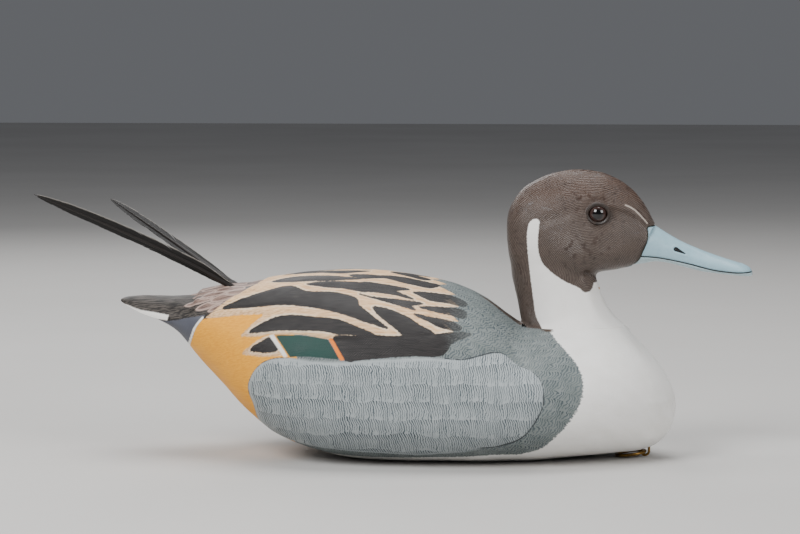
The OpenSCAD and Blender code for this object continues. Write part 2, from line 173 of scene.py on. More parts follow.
def block(name, low, high):
    corners = [[(low, high)[a][0], (low, high)[b][1], (low, high)[c][2]]
               for a in (0, 1) for b in (0, 1) for c in (0, 1)]
    faces = [[0, 1, 3, 2], [4, 6, 7, 5], [0, 4, 5, 1], [2, 3, 7, 6], [0, 2, 6, 4], [1, 5, 7, 3]]
    return piece_from(name, corners, faces)


def tube(name, points, radii, sides=24):
    """A closed tube along points, each with its own radius."""
    points = np.asarray(points, float)
    way = np.gradient(points, axis=0)
    way /= np.linalg.norm(way, axis=1)[:, None]
    across = np.cross(way, [0.0, 0.0, 1.0] if abs(way[0][2]) < 0.9 else [1.0, 0.0, 0.0])
    across /= np.linalg.norm(across, axis=1)[:, None]
    over = np.cross(across, way)
    angle = 2 * np.pi * np.arange(sides) / sides
    radii = np.broadcast_to(radii, len(points))[:, None, None]
    rings = points[:, None] + radii * (np.cos(angle)[None, :, None] * across[:, None]
                                       + np.sin(angle)[None, :, None] * over[:, None])
    return skin(name, rings)


def settled(piece):
    """Applies a piece's modifiers to its mesh."""
    graph = bpy.context.evaluated_depsgraph_get()
    mesh = bpy.data.meshes.new_from_object(piece.evaluated_get(graph))
    piece.modifiers.clear()
    old = piece.data
    piece.data = mesh
    bpy.data.meshes.remove(old)
    mesh.name = piece.name
    return piece


def copy_of(piece, name):
    twin = piece.copy()
    twin.data = piece.data.copy()
    twin.name = name
    bpy.context.scene.collection.objects.link(twin)
    return twin


def cut(piece, cutters, operation="DIFFERENCE"):
    for cutter in cutters:
        modifier = piece.modifiers.new("cut", "BOOLEAN")
        modifier.operation = operation
        modifier.solver = "MANIFOLD"
        modifier.object = cutter
    return settled(piece)


def discard(*pieces):
    for piece in pieces:
        bpy.data.objects.remove(piece)


def vertices_of(piece):
    """A piece's vertices in millimetres."""
    flat = np.empty(len(piece.data.vertices) * 3, dtype=np.float32)
    piece.data.vertices.foreach_get("co", flat)
    return flat.reshape(-1, 3).astype(float) / MM


def normals_of(piece):
    flat = np.empty(len(piece.data.vertices) * 3, dtype=np.float32)
    piece.data.vertices.foreach_get("normal", flat)
    return flat.reshape(-1, 3).astype(float)


def move_vertices(piece, points):
    piece.data.vertices.foreach_set("co", (np.asarray(points) * MM).astype(np.float32).ravel())
    piece.data.update()


def shade(piece, angle=35):
    piece.data.shade_smooth()
    piece.data.set_sharp_from_angle(angle=np.radians(angle))


def store(piece, name, values):
    """Puts a number, or three, on every vertex for the paint to read."""
    values = np.asarray(values, dtype=np.float32)
    if values.ndim == 1:
        piece.data.attributes.new(name, "FLOAT", "POINT").data.foreach_set("value", values)
    else:
        piece.data.attributes.new(name, "FLOAT_VECTOR", "POINT").data.foreach_set("vector", values.ravel())


# ---- Distances to painted outlines ----
def curve(points, closed=True, steps=4):
    """A smooth line through a few points."""
    points = np.asarray(points, float)
    if closed:
        around = np.concatenate([points[-1:], points, points[:2]])
        places = np.arange(0, len(points) * steps) / steps + 1
        return along(around, places)
    return along(points, np.arange(0, (len(points) - 1) * steps + 1) / steps)


FAR = 60.0


def distance(points, line, closed=True, reach=12):
    """Distance in the plane to a line, negative inside a closed one; points out of reach get FAR."""
    line = np.asarray(line, float)
    ends = np.roll(line, -1, axis=0) if closed else line[1:]
    starts = line if closed else line[:-1]
    near = np.all((points > line.min(0) - reach) & (points < line.max(0) + reach), axis=1)
    result = np.full(len(points), FAR)
    p = points[near]
    best = np.full(len(p), np.inf)
    inside = np.zeros(len(p), dtype=bool)
    for a, b in zip(starts, ends):
        way = b - a
        from_a = p - a
        t = np.clip(from_a @ way / max(way @ way, 1e-9), 0, 1)
        gap = from_a - t[:, None] * way
        best = np.minimum(best, (gap**2).sum(1))
        if closed and a[1] != b[1]:
            crosses = (a[1] > p[:, 1]) != (b[1] > p[:, 1])
            inside ^= crosses & (p[:, 0] < way[0] * (p[:, 1] - a[1]) / way[1] + a[0])
    result[near] = np.where(inside, -1.0, 1.0) * np.sqrt(best)
    return result


def smooth_step(value, low, high):
    t = np.clip((value - low) / (high - low), 0, 1)
    return t * t * (3 - 2 * t)


def ripple(points, size, seed):
    """Smooth made-up unevenness between -1 and 1, with hollows about one size across."""
    chance = np.random.default_rng(seed)
    total = np.zeros(len(points))
    for _ in range(6):
        way = chance.normal(size=3)
        way /= np.linalg.norm(way)
        length, start = size * chance.uniform(0.8, 1.6), chance.uniform(0, 6.3)
        total += np.sin(points @ way * 2 * np.pi / length + start)
    return total / 4


# ---- Where a point lies on the body: x, and the girth g measured down from the middle of the back ----
GIRTH_PLACES = places_for(BODY_LINES, 0, 2.0)
GIRTH_ROWS = along(BODY_LINES, GIRTH_PLACES)
GIRTH_ANGLES = np.radians(np.linspace(90, -90, 181))


def girth_table():
    top, bottom, wide_z, half_w, above, below = (GIRTH_ROWS[:, k, None] for k in range(1, 7))
    upper = GIRTH_ANGLES >= 0
    roundness = np.where(upper, above, below)
    y = half_w * HALF_BEAM * power(np.cos(GIRTH_ANGLES), roundness)
    z = np.maximum(wide_z + np.where(upper, top - wide_z, wide_z - bottom)
                   * power(np.sin(GIRTH_ANGLES), roundness), 0)
    steps = np.hypot(np.diff(y, axis=1), np.diff(z, axis=1))
    return np.concatenate([np.zeros((len(y), 1)), np.cumsum(steps, axis=1)], axis=1)


GIRTHS = girth_table()


def lines_at(points):
    """The place of each point in the table of the body's lines, and the lines there."""
    rows = np.arange(len(GIRTH_ROWS))
    place = np.interp(points[:, 0], GIRTH_ROWS[:, 0], rows)
    return place, [np.interp(place, rows, GIRTH_ROWS[:, k]) for k in range(1, 7)]


def lie_of(points):
    """x and g of points on the body's skin."""
    place, (top, bottom, wide_z, half_w, above, below) = lines_at(points)
    upper = points[:, 2] >= wide_z
    roundness = np.where(upper, above, below)
    rise = np.maximum(np.where(upper, top - wide_z, wide_z - bottom), 0.1)
    up = (np.abs(points[:, 2] - wide_z) / rise) ** (roundness / 2)
    out = (np.abs(points[:, 1]) / np.maximum(half_w * HALF_BEAM, 0.1)) ** (roundness / 2)
    angle = np.degrees(np.arctan2(np.where(upper, up, -up), out))
    column = np.clip(90 - angle, 0, 179.999)
    i, j = np.clip(place.astype(int), 0, len(GIRTHS) - 2), column.astype(int)
    s, t = place - i, column - j
    g = ((1 - s) * (1 - t) * GIRTHS[i, j] + s * (1 - t) * GIRTHS[i + 1, j]
         + (1 - s) * t * GIRTHS[i, j + 1] + s * t * GIRTHS[i + 1, j + 1])
    return np.stack([points[:, 0], g], axis=1)


# ---- Painted outlines on the body, as x and g ----
WING_BAND = curve([(-30, 81), (-18, 80), (-5, 79), (5, 79), (15, 77), (30, 73), (37, 70), (44, 66),
                   (52, 62), (48, 67), (44, 71), (40, 76), (39, 79), (36, 84), (30, 87), (17, 89),
                   (1, 92), (-14, 94), (-22, 94)])
WING_GREEN = np.array([(-66, 71.6), (-59, 73.8), (-50, 76), (-42, 78.4), (-33, 81), (-25, 94.2),
                       (-35, 92.5), (-47, 90), (-56, 88.5)])
WING_WHITE = np.array([(-70, 70.2), (-67, 70.8), (-57.2, 88), (-60, 87.2)])
WING_ORANGE = np.array([(-33, 80.2), (-30.6, 80.2), (-22.4, 94.4), (-25, 94.8)])
TERTIALS = [
    curve([(-82, 63), (-76, 61.5), (-68, 60), (-60, 60.5), (-51, 63), (-39, 66), (-28, 68.5), (-20, 72),
           (-13, 75), (-6, 78.5), (-18, 78), (-26, 78), (-36, 75), (-48, 73), (-60, 70), (-71, 67),
           (-78, 65)]),
    curve([(-101, 37), (-94, 35), (-84, 33), (-72, 31), (-66, 30), (-59, 32), (-52, 39), (-46, 42),
           (-34, 44), (-25, 47), (-18, 51), (-16, 57), (-10, 63), (-3, 69), (2, 73), (-5, 71), (-12, 69),
           (-19, 66), (-27, 63), (-37, 59), (-49, 55), (-64, 50), (-79, 46), (-92, 41)]),
]
SCAPULARS = [
    curve([(-7, 58), (-3, 58), (3, 59), (10, 62), (15, 64), (21, 68), (26, 70), (30, 73), (15, 77),
           (8, 73), (2, 68), (-3, 64)]),
    curve([(-16, 46), (-11, 48), (-4, 49), (10, 49), (22, 49), (15, 53), (18, 56), (9, 54), (-4, 50.5)]),
    curve([(-50, 31), (-40, 30), (-29, 31), (-20, 32), (-12, 31), (-7, 32), (2, 33), (13, 35), (5, 39),
           (9, 42), (16, 46), (5, 44), (-7, 43), (-16, 43), (-27, 39.5), (-35, 38), (-43, 35)]),
    curve([(-73, 18), (-66, 14.5), (-56, 15), (-46, 17), (-36, 20), (-27, 23), (-18, 26.5), (-27, 28),
           (-37, 28), (-46, 27), (-55, 26), (-64, 23)]),
    curve([(-25, 19), (-17, 17), (-8, 17), (0, 15), (7, 14), (16, 16), (24, 17), (30, 18), (27, 26),
           (22, 28), (8, 26), (-2, 22), (-8, 23), (-17, 25)]),
    curve([(16, 38), (20, 36), (29, 34), (38, 31.5), (47, 32), (46, 38.5), (36, 42), (28, 44), (24, 43),
           (19, 40)]),
    curve([(21, 53), (27, 51), (36, 48), (47, 43), (47, 51), (39, 53), (33, 54), (27, 54)]),
    curve([(18, 60), (22, 60), (28, 60.5), (40, 59), (46, 60), (43, 64.5), (33, 66), (28, 64), (22, 62)]),
    curve([(-68, 1), (-55, 0), (-40, 2), (-30, 5), (-14, 5), (-23, 13), (-32, 14.5), (-42, 10), (-54, 7),
           (-64, 3)]),
    curve([(-1, 2), (6, 0), (15, 1), (24, 8), (19, 13), (8, 8)]),
]
BAR_FEATHER = curve([(-81, 74.3), (-75, 73), (-69, 72.6), (-64, 81), (-71, 80.2), (-77, 77.2)])
BAR_FEATHER_EDGE = curve([(-87, 74), (-80, 71.5), (-71, 70.3), (-65, 77), (-60, 85.8), (-67, 84.4),
                          (-75, 81.5), (-82, 77.5)])
MANTLE = np.concatenate([
    curve([(-80, -6), (-82, 10), (-85, 18), (-92, 25), (-99, 30), (-105, 34.5), (-112, 38)],
          closed=False),
    curve([(-111, 39), (-102, 43), (-91, 47), (-84, 50), (-75, 54), (-80, 57.5), (-84, 60), (-88, 62.5),
           (-84, 65), (-78, 68), (-70, 70), (-60, 73.4), (-50, 75.6), (-42, 78), (-33, 81), (-24, 81.5),
           (0, 80), (16, 78), (32, 74)], closed=False),
    [(42, 66.5), (35, 62), (44, 56), (34, 49), (44, 41), (33, 33), (41, 28), (28, 20), (34, 11), (24, 6),
     (29, 1), (26, -6)],
])
VENT = np.concatenate([
    curve([(-110, 36), (-115, 38), (-119.5, 42), (-123, 49), (-125.5, 58), (-127, 72), (-127, 90)],
          closed=False),
    [(-80, 180), (-60, 180), (-50, 100), (-54, 74), (-80, 48)],
])
VENT_LINE = curve([(-114.5, 37.2), (-119.5, 41.2), (-123.5, 49), (-126, 58), (-127.5, 72),
                   (-127.5, 90)], closed=False)
UNDERTAIL = np.array([(-180, 23), (-160, 22), (-140, 29), (-126, 32), (-112, 36), (-119, 42),
                      (-124, 52), (-127, 66), (-127, 120), (-180, 120)])
TAIL_TOP = np.array([(-180, -6), (-180, 120), (-140, 120), (-140, 34), (-122, 36), (-111, 39.5),
                     (-98, 34), (-88, 24), (-80, 12), (-76, -6)])
TAIL_EDGE = np.concatenate([
    curve([(-176, 3), (-168, 9), (-158, 16.5), (-148, 21), (-137, 26)], closed=False),
    curve([(-138, 29), (-148, 25), (-158, 20.8), (-168, 13.4), (-178, 9)], closed=False),
])
FLANK_REAR = [(-57, 88.5), (-66, 86), (-74, 86), (-80, 89.5), (-83.5, 96), (-83, 104)]
FLANK_FRONT = [(58, 137), (68, 129), (78, 117), (86, 108), (92, 98), (96, 88), (96, 80), (94.5, 73),
               (89, 67), (80, 62.5), (72, 60.5), (66, 65), (58, 74), (48, 82.5), (37, 86.5)]
FLANK = np.concatenate([
    curve([*FLANK_REAR, (-81, 114), (-80, 137), (-74, 152), (-60, 162)], closed=False),
    curve([(20, 162), (44, 150), *FLANK_FRONT], closed=False),
    curve([(37, 87), (16, 91), (3, 93), (-24, 95.5), (-42, 93.5)], closed=False),
])
FLANK_LINE = curve(FLANK_FRONT, closed=False)
REAR_LINE = curve(FLANK_REAR, closed=False)
BREAST = np.concatenate([
    curve([(92, -8), (97, 20), (102, 36), (109, 48), (115, 57), (118.5, 64), (119.5, 71), (118.5, 80),
           (114, 91), (108, 101), (101, 111), (95, 120), (85, 128), (64, 143), (43, 158), (20, 167),
           (-12, 173), (-42, 178), (-64, 186), (-74, 204), (-76, 280)], closed=False),
    [(240, 280), (240, -8)],
])
CREST = np.concatenate([
    curve([(44, -3), (58, 2.6), (70, 5), (80, 9), (88, 16), (96, 26)], closed=False),
    [(100, 26), (100, -8), (44, -8)],
])
# Small feathers over the root of the tail: tip x, tip g, length, width. Later ones lie on top.
COVERTS = [(-128, 22, 20, 9), (-124, 13, 20, 10), (-127, 3, 22, 9), (-120, 29, 18, 9), (-118, 19, 20, 10),
           (-119, 8, 20, 10), (-112, 34, 16, 8), (-111, 26, 18, 10), (-110, 15, 20, 11), (-111, 2, 20, 10),
           (-103, 32, 16, 9), (-102, 22, 20, 11), (-101, 9, 20, 11)]


def leaf(tip_x, tip_g, length, width):
    """Outline of a small pointed feather, tip to the rear."""
    share = np.linspace(0, 1, 12)
    half = width / 2 * np.sqrt(np.sin(share * np.pi / 2)) * (1 - 0.25 * share)
    x = tip_x + share * length
    return np.concatenate([np.stack([x, tip_g + half], 1), np.stack([x, tip_g - half], 1)[::-1]])


def nearest(lie, outlines):
    return np.min([distance(lie, outline) for outline in outlines], axis=0)


def coverts_of(lie):
    """Depth inside the group of small feathers, the lines round each, and how far each is lifted."""
    group = np.full(len(lie), FAR)
    line = np.full(len(lie), FAR)
    lift = np.zeros(len(lie))
    for small in COVERTS:
        inside = distance(lie, leaf(*small))
        line = np.minimum(np.maximum(line, -inside), np.abs(inside))
        group = np.minimum(group, inside)
        tilt = 0.45 * np.clip(-inside / 3, 0, 1)
        lift = np.where(inside < 0, 0.25 + tilt, lift)
    return group, line, lift


def paint_body(piece):
    """Every painted edge of the body as a distance that the paint reads."""
    points = vertices_of(piece)
    lie = lie_of(points)
    group, line, _ = coverts_of(lie)
    fields = {
        "breast": distance(lie, BREAST, reach=400),
        "vent": distance(lie, VENT, reach=400),
        "undertail": distance(lie, UNDERTAIL, reach=400),
        "tail": distance(lie, TAIL_TOP, reach=400),
        "flank": distance(lie, FLANK, reach=400),
        "coverts": group,
        "rim": line,
        "mantle": np.minimum(distance(lie, MANTLE), distance(lie, BAR_FEATHER_EDGE)),
        "dark": nearest(lie, [*TERTIALS, *SCAPULARS, WING_BAND, BAR_FEATHER]),
        "green": distance(lie, WING_GREEN),
        "orange": distance(lie, WING_ORANGE),
        "white": np.min([distance(lie, WING_WHITE), distance(lie, TAIL_EDGE),
                         distance(lie, VENT_LINE, closed=False) - 0.9], axis=0),
        "line": np.min([distance(lie, FLANK_LINE, closed=False),
                        distance(lie, REAR_LINE, closed=False) + 0.15, line + 0.2], axis=0),
        "crest": distance(lie, CREST),
    }
    for name, values in fields.items():
        store(piece, name, values)
    store(piece, "lie", np.column_stack([lie, points[:, 2]]))


# How far the carver left each part of the body standing proud, and how deep the lines are cut
FLANK_PROUD, MANTLE_PROUD, RUMP_PROUD, CHEST_PROUD = 0.9, 1.1, 2.2, 0.6
FLANK_CUT, FEATHER_CUT = 0.45, 0.22
CHEST_Z = 37.0


def unevenness(points):
    """What the carver's knife left: the same over the whole bird, so the pieces agree where they meet."""
    return 0.16 * ripple(points, 26, 3) + 0.07 * ripple(points, 9, 4)


def body_relief(points):
    """How far the carver left the wood standing above the plain form, in millimetres."""
    lie = lie_of(points)
    x, g, z = points[:, 0], lie[:, 1], points[:, 2]
    flank = distance(lie, FLANK)
    mantle = distance(lie, MANTLE)
    _, _, lift = coverts_of(lie)
    height = FLANK_PROUD * smooth_step(-flank, -0.6, 7)
    height += MANTLE_PROUD * smooth_step(-x, -25, 25) * smooth_step(-mantle, -0.5, 2.5)
    height += lift
    # The rump stands above the root of the tail, with a step down onto it
    rump = smooth_step(x, -123, -119) * (1 - smooth_step(x, -106, -88))
    height += RUMP_PROUD * rump * (1 - smooth_step(g, 22, 34))
    groove = distance(lie, FLANK_LINE, closed=False)
    height -= FLANK_CUT * np.exp(-(groove / 0.8) ** 2)
    for outline in [*TERTIALS, *SCAPULARS]:
        height -= FEATHER_CUT * np.exp(-(distance(lie, outline) / 0.9) ** 2)
    height += CHEST_PROUD * np.exp(-((z - CHEST_Z) / 3) ** 2) * smooth_step(x, 150, 168)
    return height + unevenness(points)


def body_gap(points):
    """About how far points are outside the plain form of the body, in millimetres."""
    _, (top, bottom, wide_z, half_w, above, below) = lines_at(points)
    upper = points[:, 2] >= wide_z
    roundness = np.where(upper, above, below)
    rise = np.maximum(np.where(upper, top - wide_z, wide_z - bottom), 0.5)
    wide = np.maximum(half_w * HALF_BEAM, 0.5)
    up, out = np.abs(points[:, 2] - wide_z) / rise, np.abs(points[:, 1]) / wide
    share = np.maximum(up**roundness + out**roundness, 1e-6) ** (1 / roundness)
    slope = np.hypot((up / share) ** (roundness - 1) / rise, (out / share) ** (roundness - 1) / wide)
    return (share - 1) / np.maximum(slope, 1e-3)


def neck_gap(points):
    """The same for the neck, carried straight down below its foot."""
    z = np.maximum(points[:, 2], NECK_LINES[0, 0])
    back, front, half = (np.interp(z, NECK_ROWS[:, 0], NECK_ROWS[:, k]) for k in (1, 2, 3))
    along_x = (points[:, 0] - (back + front) / 2) / ((front - back) / 2)
    out = points[:, 1] / half
    share = np.maximum(np.hypot(along_x, out), 1e-6)
    slope = np.hypot(along_x / share / ((front - back) / 2), out / share / half)
    return (share - 1) / slope


NECK_ROWS = along(NECK_LINES, places_for(NECK_LINES, 0, 1.0))


def join_gap(points):
    """Distance to the skin of body and neck with a carved fillet between them, broad at the breast."""
    a, b = body_gap(points), neck_gap(points)
    size = 3 + 11 * smooth_step(points[:, 0], 95, 125)
    near = np.maximum(size - np.abs(a - b), 0) / size
    return np.minimum(a, b) - near**2 * size / 4


def onto_join(points, most):
    """Moves points outwards onto the fillet, by no more than a given distance."""
    moved = points.copy()
    for _ in range(6):
        gap = join_gap(moved)
        slope = np.stack([(join_gap(moved + step) - gap) / 0.05 for step in 0.05 * np.eye(3)], axis=1)
        size = np.maximum((slope**2).sum(1), 0.2)
        moved += np.clip(-gap / size, 0, 2.5)[:, None] * slope
        shift = moved - points
        length = np.maximum(np.linalg.norm(shift, axis=1), 1e-9)[:, None]
        moved = points + shift * np.minimum(1, most / length)
    return moved


def body_form():
    rings = cross_rings(along(BODY_LINES, places_for(BODY_LINES, 0, 1.05)), 380, HALF_BEAM)
    shape = rings.shape
    flat = rings.reshape(-1, 3)
    height = body_relief(flat).reshape(shape[:2])
    near = (flat[:, 2] > 60) & (flat[:, 0] > 60) & (flat[:, 0] < 165) & (neck_gap(flat) < 18)
    flat[near] = onto_join(flat[near], 7)
    rings = flat.reshape(shape)
    down = np.gradient(rings, axis=0)
    round_way = np.roll(rings, -1, axis=1) - np.roll(rings, 1, axis=1)
    normal = np.cross(round_way, down)
    normal /= np.maximum(np.linalg.norm(normal, axis=-1), 1e-9)[..., None]
    ends = smooth_step(np.minimum(np.arange(len(rings)), len(rings) - 1 - np.arange(len(rings))), 1, 8)
    outward = np.sign((normal * (rings - rings.mean(axis=1, keepdims=True))).sum(-1, keepdims=True))
    rings = rings + normal * outward * (height * ends[:, None])[..., None]
    rings[..., 2] = np.maximum(rings[..., 2], 0)
    return skin("body_form", rings)


def quill_way(side):
    level = np.cos(QUILL_RISE)
    return np.array([-level * np.cos(SPLAY[side]), side * level * np.sin(SPLAY[side]), np.sin(QUILL_RISE)])


def sprig_root(side):
    return SPRIG_ROOT * [1, side, 1]


def lean_block():
    """Everything in front of the bill's glue face."""
    edge = BILL_TOP - BILL_FOOT
    edge = edge / np.hypot(*edge)
    front = np.array([edge[1], -edge[0]])
    start = BILL_FOOT - 6 * edge
    corners = [start, start + 120 * edge, start + 120 * edge + 120 * front, start + 120 * front]
    points = [(x, side * 60, z) for side in (-1, 1) for x, z in corners]
    faces = [[0, 1, 2, 3], [7, 6, 5, 4], [0, 4, 5, 1], [1, 5, 6, 2], [2, 6, 7, 3], [3, 7, 4, 0]]
    return piece_from("bill_side", points, faces)


def make_body():
    form = body_form()
    wide = 400
    above = block("above", (-wide, -wide, SEAM_Z), (wide, wide, wide))
    below = block("below", (-wide, -wide, -wide), (wide, wide, SEAM_Z))
    seat = block("seat", (SEAT_X[0], -wide, SEAT_Z), (SEAT_X[1], wide, wide))
    tail_end = block("tail_end", (-wide, -wide, -wide), (TAIL_STEP_X, wide, wide))
    tail_shelf = block("tail_shelf", (-wide, -wide, TAIL_SHELF_Z), (TAIL_END_X, wide, wide))
    inner = np.array([row for row in BODY_LINES if CHAMBER_X[0] < row[0] < CHAMBER_X[1]])
    inner[:, 1] -= 3
    inner[:, 2] = np.maximum(inner[:, 2], 0)
    chamber = skin("chamber", cross_rings(inner, 40, HALF_BEAM, WALL))
    holes = [tube("hole", [sprig_root(side) + depth * quill_way(side) for depth in (-QUILL_DEPTH, 20)],
                  QUILL_R + QUILL_GAP, 32) for side in (RIGHT, LEFT)]
    low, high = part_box("ballast_weight")
    low, high = np.array(low) / MM, np.array(high) / MM
    pocket = block("pocket", (low[0] - 0.1, low[1] - 0.1, -5), (high[0] + 0.1, high[1] + 0.1, high[2] + 0.1))

    upper = cut(copy_of(form, "carved_body_upper"), [below, seat, tail_end, tail_shelf, chamber, *holes])
    lower = cut(copy_of(form, "carved_body_lower"), [above, chamber, pocket])
    tail = copy_of(form, "carved_tail")
    front_of_tail = block("front_of_tail", (TAIL_END_X, -wide, -wide), (wide, wide, wide))
    under_tail = block("under_tail", (TAIL_STEP_X, -wide, -wide), (wide, wide, TAIL_SHELF_Z))
    tail = cut(tail, [front_of_tail, under_tail])
    discard(form, above, below, seat, tail_end, tail_shelf, chamber, pocket, *holes)
    discard(front_of_tail, under_tail)
    for piece in (upper, lower, tail):
        paint_body(piece)
        shade(piece)
    return upper, lower, tail


# ---- Head ----
# Painted outlines on each side of the head, as x and z
NECK_WHITE = np.concatenate([
    curve([(92, 67), (94, 78.5), (89.5, 88), (87.5, 100), (86.5, 107.5), (85.2, 118.5), (84.4, 127),
           (83.8, 137), (84.6, 144.4), (87.2, 147.6), (90, 148.2), (91.4, 146.4)], closed=False),
    curve([(91, 142), (90.4, 133), (91.4, 126), (94, 120.3), (99.2, 115.2), (106.5, 110.2), (111, 108),
           (115.4, 106), (117.6, 103.8), (120.3, 103), (123.2, 104.6), (124.6, 108.6)], closed=False),
    [(160, 108), (160, 66)],
])
THROAT = (118.4, 114.6)
STROKE_CENTRE = np.array([121.0, 113.0])
BROW = np.array([(157, 144), (152, 148.6), (145.5, 152.6), (139, 154.8), (133, 155.6)])
BROW_EDGE = [(143.5, 156.6), (147.5, 154.8), (150.8, 152.2), (154, 148.8), (157, 145.4)]
LORE = [(108, 151.2), (102, 149.6), (95, 147.4)]


# How far the carver cut in or left standing each part of the head
BROW_CUT, BROW_PROUD, BROW_RIDGE, LORE_CUT = 1.7, 0.6, 0.45, 0.7
LID_CUT, LID_PROUD, CHEEK_PROUD = 0.7, 0.5, 1.1
THROAT_CUT, LOBE_PROUD, NAPE_PROUD = 2.0, 1.3, 1.3
CHEEK, LOBE = (128, 130), (120.8, 109)


def head_relief(points, normals):
    """Sculpts brow, hollow behind the eye, cheeks, throat lobe and the front edges of the neck."""
    side = points[:, [0, 2]]
    sideways = np.clip(np.abs(normals[:, 1]), 0, 1)
    below = np.clip(np.interp(side[:, 0], BROW[::-1, 0], BROW[::-1, 1]) - side[:, 1], -8, 8)
    fade = smooth_step(side[:, 0], 126, 140) * (1 - smooth_step(side[:, 0], 156, 161))
    height = -BROW_CUT * fade * smooth_step(below, -0.6, 1.8) * (1 - smooth_step(below, 3, 13)) * sideways
    height += BROW_PROUD * fade * np.exp(-((below + 1.4) / 1.5) ** 2) * sideways
    brow_edge, lore = (distance(side, curve(line, closed=False), closed=False) for line in (BROW_EDGE, LORE))
    height += BROW_RIDGE * np.exp(-(brow_edge / 0.8) ** 2) * sideways
    height -= LORE_CUT * np.exp(-(lore / 3.0) ** 2) * sideways
    eye = np.hypot(side[:, 0] - EYE_X, side[:, 1] - EYE_Z)
    height -= LID_CUT * np.exp(-((eye - 8.4) / 2.0) ** 2) * sideways
    height += LID_PROUD * np.exp(-((eye - 6.2) / 1.0) ** 2) * sideways
    cheek = np.hypot((side[:, 0] - CHEEK[0]) / 20, (side[:, 1] - CHEEK[1]) / 13)
    height += CHEEK_PROUD * np.exp(-(cheek**2)) * sideways
    notch = np.hypot(side[:, 0] - THROAT[0] - 1.5, (side[:, 1] - THROAT[1] + 0.3) * 1.2)
    height -= THROAT_CUT * np.exp(-(notch / 2.0) ** 2)
    lobe = np.hypot((side[:, 0] - LOBE[0]) / 4.6, (side[:, 1] - LOBE[1]) / 5.2)
    height += LOBE_PROUD * (1 - smooth_step(lobe, 0.75, 1.15))
    turn = np.degrees(np.arctan2(np.abs(points[:, 1]) / 19, (points[:, 0] - 103) / 26))
    edge = 0.7 * np.exp(-((turn - 45) / 9) ** 2) - 0.3 * np.exp(-((turn - 22) / 10) ** 2)
    height += edge * smooth_step(points[:, 2], 83, 90) * (1 - smooth_step(points[:, 2], 102, 110))
    height += NAPE_PROUD * (1 - smooth_step(points[:, 0], 76, 90)) * smooth_step(points[:, 2], 92, 116)
    return height + unevenness(points)


def head_form():
    rows = along(NECK_LINES, places_for(NECK_LINES, 0, 2.0))
    rows = np.concatenate([[[z, *rows[0, 1:]] for z in np.arange(64.0, 81.0, 2.0)], rows])
    angle = 2 * np.pi * np.arange(72) / 72
    middle, half = (rows[:, 1] + rows[:, 2]) / 2, (rows[:, 2] - rows[:, 1]) / 2
    neck = np.stack([middle[:, None] + half[:, None] * np.cos(angle), rows[:, 3, None] * np.sin(angle),
                     np.broadcast_to(rows[:, 0, None], (len(rows), 72))], axis=-1)
    neck = skin("neck_form", neck)
    head = skin("carved_head", cross_rings(along(HEAD_LINES, places_for(HEAD_LINES, 0, 2.0)), 72))
    head = cut(head, [neck], "UNION")
    discard(neck)
    remesh = head.modifiers.new("even", "REMESH")
    remesh.mode = "VOXEL"
    remesh.voxel_size = 1.5 * MM
    soften = head.modifiers.new("blend", "SMOOTH")
    soften.factor = 0.5
    soften.iterations = 8
    finer = head.modifiers.new("finer", "SUBSURF")
    finer.levels = finer.render_levels = 1
    head = settled(head)
    points = vertices_of(head)
    foot = (points[:, 2] < 104) & (points[:, 2] > 66)
    points[foot] = onto_join(points[foot], 14)
    move_vertices(head, points)
    return head


def behind_face(points):
    """Distance to the edge between the brown face and the blue bill, negative on the brown side."""
    brown = [(146, 50), (60, 50), (60, 210), (163, 210), (163, 146)]
    return distance(points[:, [0, 2]], np.concatenate([curve(FACE_EDGE, closed=False), brown]), reach=400)


def make_head():
    head = head_form()
    points, normals = vertices_of(head), normals_of(head)
    move_vertices(head, points + normals * head_relief(points, normals)[:, None])
    bill_side = lean_block()
    under = block("under", (-400, -400, -400), (400, 400, SEAT_Z))
    sockets = [tube("socket", [(EYE_X, side * (EYE_BACK_Y - 1.8), EYE_Z), (EYE_X, side * 40, EYE_Z)],
                    EYE_R + PUTTY, 64) for side in (RIGHT, LEFT)]
    cut(head, [bill_side, under, *sockets])
    discard(bill_side, under, *sockets)
    points = vertices_of(head)
    side = points[:, [0, 2]]
    store(head, "white", distance(side, NECK_WHITE, reach=400))
    store(head, "stroke", np.hypot(*(side - STROKE_CENTRE).T))
    store(head, "eye", np.hypot(side[:, 0] - EYE_X, side[:, 1] - EYE_Z))
    store(head, "face", behind_face(points))
    store(head, "brow", distance(side, curve(BROW_EDGE, closed=False), closed=False))
    shade(head)
    return head


# ---- Bill ----
# How deep or proud the bill is carved at its marks
MOUTH_CUT, NOSTRIL_CUT, NOSTRIL_RIM, NAIL_PROUD, SIDE_HOLLOW = 0.55, 0.9, 0.3, 0.35, 0.5
MOUTH = [(153.1, 125), (159.7, 124.6), (166, 123.8), (172.4, 122.6), (178.7, 121.3), (185, 119.8),
         (190.3, 118.4), (198.5, 116.5), (209, 115.3), (216, 115.2), (221, 115.6)]
NOSTRIL = [(174.5, 129.4), (180.3, 126.6)]
FACE_EDGE = [(161.5, 143.6), (157.2, 143), (157.3, 139.2), (156.9, 134.5), (155.6, 131.3), (154, 127.8),
             (152.5, 124.1), (149.9, 120.9), (147.5, 119.5), (144, 118)]


def bill_marks(points):
    """Distance to the mouth line, and to the outline of the nostril, a drop with its bulb to the rear."""
    side = points[:, [0, 2]]
    start, end = np.array(NOSTRIL)
    way = end - start
    t = np.clip((side - start) @ way / (way @ way), 0, 1)
    gap = np.linalg.norm(side - start - t[:, None] * way, axis=1)
    return distance(side, curve(MOUTH, closed=False), closed=False), gap - 1.35 * (1 - 0.8 * t)


